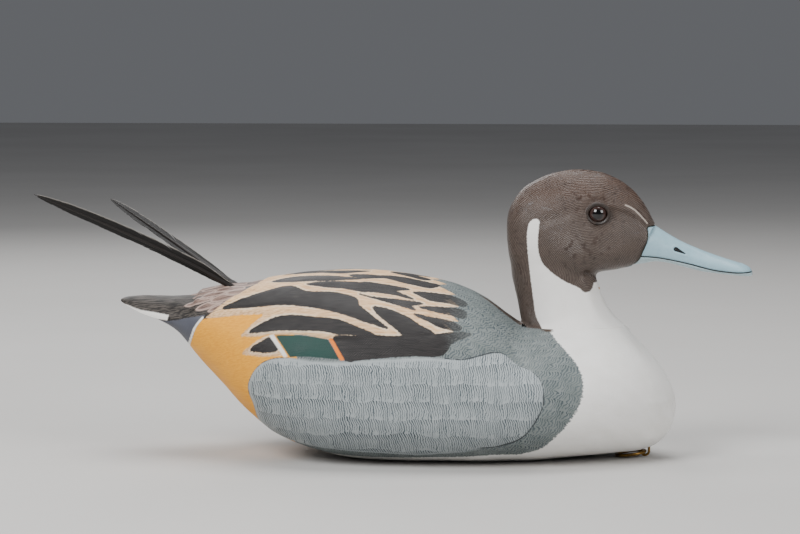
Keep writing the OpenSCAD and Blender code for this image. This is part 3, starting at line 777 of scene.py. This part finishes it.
def make_bill():
    rings = cross_rings(along(BILL_LINES, places_for(BILL_LINES, 0, 0.55)), 150)
    bill = skin("carved_bill", rings)
    points, normals = vertices_of(bill), normals_of(bill)
    mouth, nostril = bill_marks(points)
    on_side = smooth_step(np.abs(normals[:, 1]), 0.1, 0.4)
    height = -MOUTH_CUT * np.exp(-(mouth / 0.55) ** 2)
    height -= NOSTRIL_CUT * (1 - smooth_step(nostril, -0.9, 0.3)) * on_side
    height += NOSTRIL_RIM * np.exp(-((nostril - 0.9) / 0.6) ** 2) * on_side
    nail = np.hypot((points[:, 0] - 218) / 4.5, points[:, 1] / 4.2)
    height += NAIL_PROUD * (1 - smooth_step(nail, 0.8, 1.1)) * smooth_step(normals[:, 2], 0.2, 0.6)
    # The ridge down the middle is left a little proud of the hollow sides
    side_hollow = np.exp(-((np.abs(normals[:, 1]) - 0.75) / 0.2) ** 2) * smooth_step(normals[:, 2], 0.2, 0.5)
    middle = smooth_step(points[:, 0], 160, 172) * (1 - smooth_step(points[:, 0], 186, 204))
    height -= SIDE_HOLLOW * side_hollow * middle
    height += 0.06 * ripple(points, 12, 11)
    ends = smooth_step(221.2 - points[:, 0], 0, 2)
    move_vertices(bill, points + normals * (height * ends)[:, None])
    bill_side = lean_block()
    cut(bill, [bill_side], "INTERSECT")
    discard(bill_side)
    points = vertices_of(bill)
    mouth, nostril = bill_marks(points)
    store(bill, "mouth", mouth)
    store(bill, "nostril", nostril)
    store(bill, "lower", points[:, 2] - np.interp(points[:, 0], *np.transpose(MOUTH)))
    store(bill, "face", behind_face(points))
    shade(bill)
    return bill


# ---- Tail sprigs: a quill, a shaft and rows of barbs ----
VANE_ROLL = {RIGHT: np.radians(56), LEFT: np.radians(25)}
BARBS, BARB_W, BARB_THICK, BARB_STEPS = 170, 1.75, 0.16, 5
# How much of the vane lies above the shaft and below it
UPPER_SHARE, LOWER_SHARE = 0.58, 0.50


def shaft(side, t):
    """Points along the shaft, from the root of the vane at 0 to the tip at 1."""
    t = np.atleast_1d(t)[:, None]
    root = sprig_root(side) + VANE_START * quill_way(side)
    bend = sprig_root(side) + BEND * quill_way(side)
    tip = sprig_root(side) + SPRIG_TIP[side] * [1, side, 1]
    return (1 - t) ** 2 * root + 2 * t * (1 - t) * bend + t**2 * tip


def vane_share(t):
    return np.minimum(1, 0.5 + 6 * np.maximum(t, 0)) * (1 - 0.95 * np.clip(t, 0, 1) ** 6)


def frame_at(side, t):
    """Directions at a place on the shaft: along it, across the vane and out of the vane."""
    way = shaft(side, t + 0.01)[0] - shaft(side, t - 0.01)[0]
    way /= np.linalg.norm(way)
    level = np.cross([0, 0, 1], way)
    level /= np.linalg.norm(level)
    up = np.cross(way, level)
    wide = side * np.cos(VANE_ROLL[side]) * level - np.sin(VANE_ROLL[side]) * up
    return way, wide, np.cross(way, wide)


def barb(points, faces, start, way, wide, out, length, lean, droop):
    """Adds one flat tapering barb of four boxes to a list of points and faces."""
    first = len(points)
    for k in range(BARB_STEPS):
        s = k / (BARB_STEPS - 1)
        heading = lean * (1 - 0.35 * s)
        middle = start + length * s * (np.cos(heading) * way + np.sin(heading) * wide) + droop * s * s * out
        half = BARB_W / 2 * (1 - 0.55 * s**2)
        thick = BARB_THICK * (1 - 0.6 * s)
        for a, b in ((-1, -1), (1, -1), (1, 1), (-1, 1)):
            points.append(middle + a * half * way + b * thick * out)
    for k in range(BARB_STEPS - 1):
        base = first + 4 * k
        for j in range(4):
            n = (j + 1) % 4
            faces.append([base + j, base + n, base + 4 + n, base + 4 + j])
    faces.append([first + 3, first + 2, first + 1, first])
    end = first + 4 * (BARB_STEPS - 1)
    faces.append([end, end + 1, end + 2, end + 3])


def make_sprig(side, name):
    chance = np.random.default_rng(20 + side)
    places = np.linspace(0, 1, 60)
    way = quill_way(side)
    inner = [sprig_root(side) + s * way for s in np.linspace(-(QUILL_DEPTH - 1), VANE_START - 1, 16)]
    radii = np.concatenate([np.full(16, QUILL_R), np.minimum(1.5 * (1 - places) ** 0.8 + 0.22, QUILL_R)])
    quill = tube(name, np.concatenate([inner, shaft(side, places)]), radii, 16)

    points, faces = [], []
    for upper in (True, False):
        clump_left, lean_change, short = 0, 0.0, 1.0
        for k in range(BARBS):
            if clump_left == 0:
                clump_left = int(chance.integers(4, 14))
                lean_change = chance.normal(0, 0.035)
                short = 1 - abs(chance.normal(0, 0.04 if upper else 0.10))
            clump_left -= 1
            t = -0.04 + 1.02 * k / BARBS
            way, wide, out = frame_at(side, t)
            reach = VANE_W * vane_share(t) * (UPPER_SHARE if upper else LOWER_SHARE) * short
            lean = np.radians(26 + 34 * (1 - smooth_step(t, -0.04, 0.12))) + lean_change
            droop = (-0.35 if upper else 0.5) * vane_share(t)
            length = max(1.12 * reach / np.sin(lean), 1.2) * chance.uniform(0.95, 1.02)
            start = shaft(side, t)[0] + 0.02 * (k % 3) * out
            barb(points, faces, start, way, -wide if upper else wide, out, length, lean, droop)
    vane = piece_from("vane", points, faces)
    per_side = BARBS * BARB_STEPS * 4
    ends = [len(quill.data.vertices), per_side, per_side]
    joined = join(quill, vane)
    joined.data.validate()
    outward = bmesh.new()
    outward.from_mesh(joined.data)
    bmesh.ops.recalc_face_normals(outward, faces=outward.faces)
    outward.to_mesh(joined.data)
    outward.free()
    store(joined, "shaft", np.repeat([1, 0, 0], ends))
    store(joined, "upper", np.repeat([1, 1, 0], ends))
    reach = np.tile(np.repeat(np.linspace(0, 1, BARB_STEPS), 4), 2 * BARBS)
    store(joined, "reach", np.concatenate([np.zeros(ends[0]), reach]))
    shade(joined, 40)
    return joined


def join(first, second):
    bpy.ops.object.select_all(action="DESELECT")
    first.select_set(True)
    second.select_set(True)
    bpy.context.view_layer.objects.active = first
    bpy.ops.object.join()
    return first


# ---- Eye bed ----
def eye_rings(side, profile, opening=False):
    """Rings turned about the eye's axis; the opening in the lids is drawn out to points front and rear."""
    around = 96
    angle = 2 * np.pi * np.arange(around) / around
    rings = []
    for radius, depth in profile:
        out = np.full(around, radius)
        if opening and depth > 2:
            lid = 1 - 0.15 * np.abs(np.sin(angle)) ** 1.4
            out = radius * (lid if radius < EYE_R else 0.5 + 0.5 * lid + 0.045)
        rings.append(np.stack([EYE_X + out * np.cos(angle), np.full(around, side * (EYE_BACK_Y + depth)),
                               EYE_Z + out * np.sin(angle)], axis=-1))
    return np.array(rings)


def make_putty(side, name):
    """A turned bed of putty: a floor behind the glass, a wall, and two lids that meet in points."""
    r = EYE_R
    rim = r + PUTTY
    profile = [(0.05, -1.8), (rim, -1.8), (rim, 2.4), (rim + 0.45, 3.2), (rim + 0.3, 4.1), (r + 0.45, 4.5),
               (r * 0.98, 4.1), (r * 0.95, 3.0), (r, 1.2), (r, -1.0), (0.05, -1.0)]
    piece = skin(name, eye_rings(side, curve(profile, closed=False, steps=3), opening=True))
    shade(piece, 50)
    return piece


def make_glass(side, name):
    """The dome of the glass eye, flat at the back, a hair clear of the enamel behind it."""
    turn = np.radians(np.linspace(0, 89.5, 40))
    profile = [(0.05, 0.06), *zip(EYE_R * np.cos(turn), 0.06 + (EYE_R - 0.06) * np.sin(turn))]
    piece = skin(name, eye_rings(side, profile))
    points = vertices_of(piece)
    store(piece, "eye", np.hypot(points[:, 0] - EYE_X, points[:, 2] - EYE_Z))
    shade(piece, 50)
    return piece


# ---- Materials ----
def paint(hex_colour):
    """An sRGB hex colour as linear red, green, blue and alpha."""
    values = [int(hex_colour[i:i + 2], 16) / 255 for i in (1, 3, 5)]
    return (*[v / 12.92 if v <= 0.04045 else ((v + 0.055) / 1.055) ** 2.4 for v in values], 1.0)


def new_material(name, **shader):
    material = bpy.data.materials.new(name)
    material.use_nodes = True
    tree = material.node_tree
    surface = tree.nodes["Principled BSDF"]
    for socket, value in shader.items():
        surface.inputs[socket.replace("_", " ")].default_value = value
    return material, tree, surface


def add(tree, kind, *inputs, output=0, **settings):
    """Adds a node and gives one of its outputs. A kind in capitals is a Math operation. Inputs fill the
    sockets in order; settings are the node's own or named sockets'. A socket takes a value or an output."""
    made = tree.nodes.new("ShaderNodeMath" if kind.isupper() else "ShaderNode" + kind)
    if kind.isupper():
        made.operation = kind
    sockets = list(zip(made.inputs, inputs))
    for name, value in settings.items():
        if hasattr(made, name):
            setattr(made, name, value)
        else:
            sockets.append((made.inputs[name.replace("_", " ")], value))
    for socket, source in sockets:
        if isinstance(source, bpy.types.NodeSocket):
            tree.links.new(source, socket)
        else:
            socket.default_value = source
    return made.outputs[output]


def total(tree, *values):
    """All the values added up."""
    result = values[0]
    for value in values[1:]:
        result = add(tree, "ADD", result, value)
    return result


def shaken(tree, value, noise, much):
    """A value pushed up and down by a noise, so that an edge drawn on it looks drawn by hand."""
    return add(tree, "ADD", value, add(tree, "MULTIPLY", add(tree, "SUBTRACT", noise, 0.5), much))


def zigzag(tree, value):
    """Half at every whole number and nothing halfway between."""
    return add(tree, "ABSOLUTE", add(tree, "SUBTRACT", add(tree, "FRACT", value), 0.5))


def place_in_mm(tree):
    """Position on the object in millimetres."""
    return add(tree, "Mapping", add(tree, "NewGeometry"), Scale=(1 / MM, 1 / MM, 1 / MM))


def coat(tree, surface, colour, roughness):
    """Sends a finish's colour and how matt it is to the shader."""
    tree.links.new(colour, surface.inputs["Base Color"])
    tree.links.new(roughness, surface.inputs["Roughness"])


def raise_paint(tree, surface, height, depth):
    """Stands the paint up from the wood by a height, of which 1 is depth millimetres."""
    bump = add(tree, "Bump", Height=height, Distance=depth * MM, Strength=1.0)
    tree.links.new(bump, surface.inputs["Normal"])


# Brush strokes in millimetres: how far apart, how long a row, how far they lean and bow, and how they wander
FLANK_STROKES = (1.45, 10.5, -0.16, 3.0, 3.2)
BREAST_STROKES = (1.7, 6.0, 0.40, 4.0, 7.0)
HATCH_PITCH = 1.3
COMB_PITCH = 0.92
SPECK = 2.2
GRAIN = 0.4


def strokes(tree, x, g, down_by, blots, wander, shake, pitch, row_height, lean, bow, wobble):
    """Rows of brush strokes pulled down: how much paint each leaves, and the blot where it starts."""
    node = partial(add, tree)
    row_at = shaken(tree, shaken(tree, node("DIVIDE", down_by, row_height), blots, 0.8), shake, 0.2)
    row, down = node("FLOOR", row_at), node("FRACT", row_at)
    from_middle = node("SUBTRACT", down, 0.4)
    bowed = node("MULTIPLY", node("MULTIPLY", from_middle, from_middle), bow)
    at = total(tree, x, node("MULTIPLY", g, lean), bowed, node("MULTIPLY", row, pitch * 0.37))
    at = shaken(tree, shaken(tree, at, wander, wobble), shake, 1.0)
    tooth = node("DIVIDE", at, pitch)
    chance = node("TexWhiteNoise", node("CombineXYZ", node("FLOOR", tooth), row), noise_dimensions="2D")
    across = node("MULTIPLY", zigzag(tree, tooth), 2.0)
    width = shaken(tree, total(tree, 0.46, node("MULTIPLY", down, -0.14)), chance, 0.25)
    line = node("MapRange", node("SUBTRACT", across, width), 0.14, -0.14)
    end = total(tree, 0.80, node("MULTIPLY", chance, 0.40))
    line = node("MULTIPLY", line, node("MapRange", node("SUBTRACT", down, end), 0.05, -0.12))
    loaded = node("MapRange", shaken(tree, down, chance, 0.3), 0.30, 0.08)
    return line, node("MULTIPLY", line, node("MULTIPLY", loaded, node("MapRange", blots, 0.42, 0.62)))


def body_paint():
    """Oil paint brushed on carved pine, the grey combed in rows of short dark strokes: satin and uneven."""
    material, tree, surface = new_material("oil_paint_on_carved_pine", IOR=1.5, Specular_IOR_Level=0.28)
    node = partial(add, tree)
    lie = node("Attribute", attribute_name="lie", output="Vector")
    x, g, z = (node("SeparateXYZ", lie, output=axis) for axis in range(3))
    blots, wander, shake, fine = (node("TexNoise", lie, Scale=1 / size) for size in (16, 7, 1.6, 0.5))
    streaks = node("TexNoise", node("Mapping", lie, Scale=(0.05, 0.9, 1)), Scale=1, Detail=4)
    hairs = node("TexNoise", node("Mapping", lie, Scale=(0.10, 1.1, 1)), Scale=1, Detail=5)
    flank, rim, dark, drawn = (node("Attribute", attribute_name=name, output="Fac")
                               for name in ("flank", "rim", "dark", "line"))

    down_side = node("MULTIPLY", z, -1.0)
    comb, comb_blot = strokes(tree, x, g, down_side, blots, wander, shake, *FLANK_STROKES)
    dab, dab_blot = strokes(tree, x, g, g, blots, wander, shake, *BREAST_STROKES)
    on_flank = node("MapRange", flank, 1.0, -1.0)
    # A plain pale margin runs under the wing
    margin = node("MAXIMUM", node("MapRange", flank, -1.2, -2.8), node("MapRange", x, 36, 48))
    stroke = node("MixRGB", on_flank, node("MULTIPLY", dab, 0.9), node("MULTIPLY", comb, margin))
    blot = node("MixRGB", on_flank, dab_blot, node("MULTIPLY", comb_blot, margin))
    cloud = node("MapRange", wander, 0.3, 0.7)
    pale = node("MixRGB", on_flank, node("MixRGB", cloud, paint("#7e8584"), paint("#6d7573")),
                node("MixRGB", cloud, paint("#a9b0b2"), paint("#9ca4a6")))
    stroke_share = node("MULTIPLY", stroke, node("MapRange", blots, 0.35, 0.65, 0.65, 0.95))
    grey = node("MixRGB", stroke_share, pale, paint("#414c52"))
    grey = node("MixRGB", node("MULTIPLY", blot, 0.8), grey, paint("#303a40"))

    def layer(under, name, over, edge=0.35, ragged=0.7):
        """Paints a colour where a field is negative, with a hand-painted edge."""
        inside = node("Attribute", attribute_name=name, output="Fac")
        factor = node("MapRange", shaken(tree, inside, shake, ragged * 2), edge, -edge)
        return node("MixRGB", factor, under, over), factor

    mottle = total(tree, node("MULTIPLY", blots, 0.6), node("MULTIPLY", fine, 0.4))
    chalk = node("MixRGB", node("MapRange", mottle, 0.35, 0.7), paint("#f4f2ef"), paint("#e8e6e1"))
    colour, on_breast = layer(grey, "breast", chalk, edge=0.4, ragged=1.6)
    ochre = node("MixRGB", node("MapRange", streaks, 0.3, 0.7), paint("#f2ac32"), paint("#e29728"))
    colour, _ = layer(colour, "vent", ochre)
    # The grey flank is painted over the rear edge of the ochre
    colour = node("MixRGB", node("MapRange", flank, 0.4, -0.3), colour, grey)
    hair_share = node("MapRange", hairs, 0.42, 0.60)
    colour, _ = layer(colour, "tail", node("MixRGB", hair_share, paint("#1b1917"), paint("#524c47")))
    colour, _ = layer(colour, "undertail", node("MixRGB", blots, paint("#3f404b"), paint("#62656e")))
    shaded = node("MixRGB", hair_share, paint("#5d4b45"), paint("#8a7267"))
    small_feather = node("MixRGB", node("MapRange", rim, 1.7, 0.8), shaded, paint("#a99388"))
    colour, _ = layer(colour, "coverts", small_feather, ragged=0.4)
    cream = node("MixRGB", node("MapRange", hairs, 0.40, 0.66), paint("#e6c297"), paint("#bf9366"))
    colour, on_mantle = layer(colour, "mantle", cream, ragged=0.9)

    # Each dark feather has a thin whitish line round it, and fine pale hairs hatched across
    outline = node("MapRange", shaken(tree, dark, shake, 0.8), 2.2, 1.5)
    outline = node("MULTIPLY", node("MULTIPLY", on_mantle, outline), node("MapRange", blots, 0.35, 0.6))
    colour = node("MixRGB", node("MULTIPLY", outline, 0.6), colour, paint("#e6d9c4"))
    hatch_at = shaken(tree, total(tree, x, node("MULTIPLY", g, 1.2)), wander, 6.0)
    hatch = zigzag(tree, node("DIVIDE", hatch_at, HATCH_PITCH))
    hatch_share = node("MapRange", node("MULTIPLY", hatch, total(tree, hairs, 0.35)), 0.30, 0.42)
    charcoal = node("MixRGB", node("MULTIPLY", hatch_share, 0.5), paint("#1a1819"), paint("#67625e"))
    on_dark = node("MULTIPLY", node("MapRange", shaken(tree, dark, shake, 1.6), 1.1, 0.5),
                   node("MapRange", shaken(tree, x, hairs, 20.0), 58, 36, 0.35, 1.0))
    colour = node("MixRGB", on_dark, colour, charcoal)
    teal = node("MixRGB", blots, paint("#0b2f2b"), paint("#1f4740"))
    colour, _ = layer(colour, "green", teal, ragged=0.3)
    colour, _ = layer(colour, "white", paint("#ebe8e2"), ragged=0.35)
    colour, _ = layer(colour, "orange", paint("#ec7a10"), ragged=0.4)
    umber = node("MixRGB", hair_share, paint("#33271f"), paint("#5d4c40"))
    colour, _ = layer(colour, "crest", umber, edge=0.8, ragged=1.6)
    brush_line = node("MapRange", total(tree, drawn, node("MULTIPLY", shake, 0.35)), 0.75, 0.45)
    colour = node("MixRGB", node("MULTIPLY", brush_line, 0.85), colour, paint("#23282c"))
    # Handling has rubbed small specks and smears into the paint
    specks = node("MapRange", node("TexNoise", lie, Scale=1 / SPECK, Detail=4), 0.70, 0.76)
    colour = node("MixRGB", node("MULTIPLY", specks, 0.30), colour, paint("#6d6459"))

    smooth = node("MAXIMUM", on_breast, node("MAXIMUM", on_mantle, on_dark))
    grooves = node("MULTIPLY", stroke, node("SUBTRACT", 1.0, smooth))
    height = total(tree, node("MULTIPLY", grooves, -0.25), node("MULTIPLY", hairs, 0.9),
                   node("MULTIPLY", fine, 0.35))
    coat(tree, surface, colour, node("MapRange", blots, 0.3, 0.7, 0.48, 0.60))
    raise_paint(tree, surface, height, 0.15)
    return material


def head_paint():
    """Umber oil paint combed in fine arcs on basswood: satin, the strokes catching the light."""
    material, tree, surface = new_material("combed_oil_paint_on_basswood", IOR=1.5, Specular_IOR_Level=0.32)
    node = partial(add, tree)
    place = place_in_mm(tree)
    blots, shake, wander, fine, broken = (node("TexNoise", place, Scale=1 / size)
                                          for size in (9, 1.2, 14, 0.6, 3))
    from_centre, from_eye, brow, white, to_face = (node("Attribute", attribute_name=name, output="Fac")
                                                   for name in ("stroke", "eye", "brow", "white", "face"))

    # Comb teeth in arcs round one centre, broken where the brush lifted
    arc = total(tree, from_centre, node("MULTIPLY", wander, 3.5), node("MULTIPLY", shake, 0.6))
    wave = zigzag(tree, node("DIVIDE", arc, COMB_PITCH))
    ridge = node("MULTIPLY", node("MapRange", wave, 0.12, 0.42), node("MapRange", broken, 0.24, 0.46))
    crown = node("MapRange", node("SeparateXYZ", place, output=2), 146, 166)
    cloud = node("MapRange", blots, 0.3, 0.7)
    warm = node("MixRGB", crown, node("MixRGB", cloud, paint("#362c28"), paint("#433732")),
                node("MixRGB", cloud, paint("#2c201b"), paint("#3b291f")))
    lit = node("MixRGB", crown, paint("#6e635b"), paint("#6a584e"))
    brown = node("MixRGB", node("MULTIPLY", ridge, 0.75), warm, lit)
    round_eye = node("MULTIPLY", node("MapRange", from_eye, 9.5, 7.0), 0.6)
    brown = node("MixRGB", round_eye, brown, paint("#33231b"))
    # Painted highlight: pale paint along the sharp edge of the brow, where the light catches it
    brow_highlight = node("MapRange", total(tree, brow, node("MULTIPLY", shake, 0.6)), 0.95, 0.55)
    brown = node("MixRGB", node("MULTIPLY", brow_highlight, 0.6), brown, paint("#c9bdb2"))
    chalk = node("MixRGB", blots, paint("#f4f2ef"), paint("#e9e6e1"))
    on_white = node("MapRange", shaken(tree, white, shake, 0.9), 0.3, -0.3)
    colour = node("MixRGB", on_white, brown, chalk)
    face = shaken(tree, to_face, fine, 0.3)
    blue = node("MixRGB", blots, paint("#a3c0cb"), paint("#8aabb9"))
    colour = node("MixRGB", node("MapRange", face, -0.1, 0.1), colour, blue)
    brush_line = node("MapRange", node("ABSOLUTE", face), 0.55, 0.35)
    colour = node("MixRGB", brush_line, colour, paint("#26251d"))
    height = total(tree, node("MULTIPLY", ridge, node("SUBTRACT", 1.0, on_white)),
                   node("MULTIPLY", shake, 0.35))
    coat(tree, surface, colour, node("MapRange", on_white, 0.0, 1.0, 0.36, 0.55))
    raise_paint(tree, surface, height, 0.14)
    return material


def bill_paint():
    """Pale blue oil paint rubbed smooth on maple, with a fine black brush line: satin."""
    material, tree, surface = new_material("blue_oil_paint_on_maple", IOR=1.5, Specular_IOR_Level=0.4)
    node = partial(add, tree)
    place = place_in_mm(tree)
    blots = node("TexNoise", place, Scale=1 / 5, Detail=3)
    fine = node("TexNoise", place, Scale=1 / 0.6)
    lower, mouth, nostril, face = (node("Attribute", attribute_name=name, output="Fac")
                                   for name in ("lower", "mouth", "nostril", "face"))
    above_mouth = node("MixRGB", blots, paint("#a3c0cb"), paint("#86a8b6"))
    below_mouth = node("MixRGB", blots, paint("#b9ccd1"), paint("#a3bac1"))
    colour = node("MixRGB", node("MapRange", lower, 0.2, -0.2), above_mouth, below_mouth)

    def mark(under, value, limit, over, soft=0.12):
        """Paints a colour where a field is under a limit, with a soft edge."""
        share = node("MapRange", shaken(tree, value, fine, soft), limit + soft, limit - soft)
        return node("MixRGB", share, under, over)

    colour = mark(colour, mouth, 0.42, paint("#1c2123"))
    colour = mark(colour, nostril, 0.0, paint("#121517"))
    colour = mark(colour, face, 0.0, node("MixRGB", blots, paint("#3f342f"), paint("#544740")), 0.2)
    colour = mark(colour, node("ABSOLUTE", face), 0.45, paint("#26251d"))
    coat(tree, surface, colour, node("MapRange", blots, 0.0, 1.0, 0.34, 0.48))
    raise_paint(tree, surface, fine, 0.05)
    return material


def feather():
    """A dark flight feather: dull keratin barbs, a painted highlight along the leading edge, a glossy horn
    shaft.
    """
    material, tree, surface = new_material("pintail_flight_feather", IOR=1.54, Specular_IOR_Level=0.3)
    node = partial(add, tree)
    along_barb, leading, on_shaft = (node("Attribute", attribute_name=name, output="Fac")
                                     for name in ("reach", "upper", "shaft"))
    # Painted highlight: the outer ends of the upper barbs are painted pale grey, where the light catches the
    # leading edge
    edge = node("MapRange", node("MULTIPLY", along_barb, leading), 0.78, 0.98)
    cloud = node("TexNoise", place_in_mm(tree), Scale=1 / 6, Detail=3)
    vane = node("MixRGB", edge, node("MixRGB", cloud, paint("#0a0909"), paint("#151312")), paint("#8d8882"))
    colour = node("MixRGB", on_shaft, vane, paint("#1e1a18"))
    coat(tree, surface, colour, node("MapRange", on_shaft, 0.0, 1.0, 0.55, 0.35))
    return material


def plain(name, colour, darker, size_mm, roughness, metallic=0.0, depth=0.03, **shader):
    """A finish with one colour that varies in blots of a given size, and a fine grain."""
    material, tree, surface = new_material(name, Metallic=metallic, **shader)
    node = partial(add, tree)
    place = place_in_mm(tree)
    blots = node("TexNoise", place, Scale=1 / size_mm, Detail=4)
    colour = node("MixRGB", node("MapRange", blots, 0.35, 0.65), paint(colour), paint(darker))
    coat(tree, surface, colour, node("MapRange", blots, 0.3, 0.7, roughness - 0.06, roughness + 0.08))
    raise_paint(tree, surface, node("TexNoise", place, Scale=1 / GRAIN), depth)
    return material


def eye_glass():
    """Flint glass with enamel fused behind it, hard polished: a black pupil in dark brown, very shiny."""
    material, tree, surface = new_material("enamel_backed_flint_glass", Roughness=0.06, IOR=1.6)
    node = partial(add, tree)
    from_axis = node("Attribute", attribute_name="eye", output="Fac")
    colour = node("MixRGB", node("MapRange", from_axis, 2.6, 4.0), paint("#040303"), paint("#3d2d29"))
    colour = node("MixRGB", node("MapRange", from_axis, 5.0, 5.7), colour, paint("#0b0807"))
    tree.links.new(colour, surface.inputs["Base Color"])
    return material


def finish_with(pieces, material):
    for piece in pieces:
        piece.data.materials.clear()
        piece.data.materials.append(material)


# ---- Camera, floor and lights ----
VIEW_AZIMUTH, VIEW_ELEVATION, VIEW_DISTANCE = np.radians(5.0), np.radians(4.7), 1.85
VIEW_AIM = Vector((0.0043, 0.0, 0.1166))
VIEW_WIDTH = 0.496
SENSOR_MM = 36
# Name, place and side length in metres, and power in watts
SOFT_BOXES = [("key", (-0.9, -1.3, 1.3), 0.9, 41), ("fill", (1.3, -1.0, 0.9), 0.8, 15),
              ("top", (0.1, 0.3, 1.8), 1.2, 28), ("rim", (-0.6, 1.4, 1.0), 0.9, 8)]


def set_stage():
    level = np.cos(VIEW_ELEVATION)
    away = Vector((np.sin(VIEW_AZIMUTH) * level, -np.cos(VIEW_AZIMUTH) * level, np.sin(VIEW_ELEVATION)))
    camera = bpy.data.cameras.new("camera")
    camera.sensor_width = SENSOR_MM
    camera.lens = SENSOR_MM * VIEW_DISTANCE / VIEW_WIDTH
    camera.clip_start, camera.clip_end = 0.05, 20
    eye = bpy.data.objects.new("camera", camera)
    eye.location = VIEW_AIM + away * VIEW_DISTANCE
    eye.rotation_euler = away.to_track_quat("Z", "Y").to_euler()
    bpy.context.scene.collection.objects.link(eye)
    bpy.context.scene.camera = eye

    floor = block("floor", (-6000, -6000, -20), (6000, 6000, 0))
    finish_with([floor], plain("pale_paper", "#c4c2bf", "#bfbdba", 400, 0.7, depth=0.01))

    for name, place, size, power_w in SOFT_BOXES:
        light = bpy.data.lights.new(name, "AREA")
        light.shape = "SQUARE"
        light.size = size
        light.energy = power_w
        lamp = bpy.data.objects.new(name, light)
        lamp.location = place
        lamp.rotation_euler = (Vector(place) - Vector((0, 0, 0.08))).to_track_quat("Z", "Y").to_euler()
        bpy.context.scene.collection.objects.link(lamp)
    world = bpy.data.worlds.new("studio")
    world.use_nodes = True
    world.node_tree.nodes["Background"].inputs["Color"].default_value = (0.9, 0.93, 1.0, 1)
    world.node_tree.nodes["Background"].inputs["Strength"].default_value = 0.14
    bpy.context.scene.world = world


# ---- Making the decoy ----
def place_piece(piece, body, nodes):
    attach(piece, body)
    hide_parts(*nodes)


set_stage()
upper, lower, tail = make_body()
head = make_head()
bill = make_bill()
sprigs = {side: make_sprig(side, name) for side, name in ((RIGHT, "feather_right"), (LEFT, "feather_left"))}
glass = {side: make_glass(side, name) for side, name in ((RIGHT, "eye_dome_right"), (LEFT, "eye_dome_left"))}
putty = {side: make_putty(side, name) for side, name in ((RIGHT, "eye_bed_right"), (LEFT, "eye_bed_left"))}

finish_with([upper, lower, tail], body_paint())
finish_with([head], head_paint())
finish_with([bill], bill_paint())
finish_with(sprigs.values(), feather())
finish_with(glass.values(), eye_glass())
finish_with(putty.values(), plain("painted_putty", "#1f1713", "#33271f", 2, 0.5))

place_piece(upper, "decoy", ["body_upper"])
place_piece(lower, "decoy", ["body_lower"])
place_piece(tail, "decoy", ["tail_board"])
place_piece(head, "decoy", ["head"])
place_piece(bill, "decoy", ["bill"])
place_piece(sprigs[RIGHT], "right_sprig", ["sprig_right"])
place_piece(sprigs[LEFT], "left_sprig", ["sprig_left"])
place_piece(putty[RIGHT], "decoy", ["eye_putty_right"])
place_piece(putty[LEFT], "decoy", ["eye_putty_left"])
place_piece(glass[RIGHT], "decoy", ["eye_glass_right"])
place_piece(glass[LEFT], "decoy", ["eye_glass_left"])

hardware = [
    (plain("turned_birch", "#b99468", "#a27e55", 6, 0.6),
     ["body_dowels", "tail_dowels", "neck_dowel", "bill_dowel"]),
    (plain("zinc_plated_steel", "#a9a9a5", "#8d8d88", 3, 0.38, 1.0), ["head_screw", "head_washer"]),
    (plain("cast_lead", "#5d6064", "#484a4c", 7, 0.62, 1.0, 0.06), ["ballast_weight"]),
    (plain("tarnished_brass", "#a07c40", "#6f5630", 4, 0.36, 1.0),
     ["ballast_screws", "line_tie_staple", "line_tie_ring"]),
    (plain("brown_enamel", "#3a2216", "#24140d", 1.5, 0.3), ["eye_iris_right", "eye_iris_left"]),
    (plain("black_glass", "#050505", "#080808", 2, 0.12), ["eye_pupil_right", "eye_pupil_left"]),
]
for material, names in hardware:
    finish_with([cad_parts[name] for name in names], material)
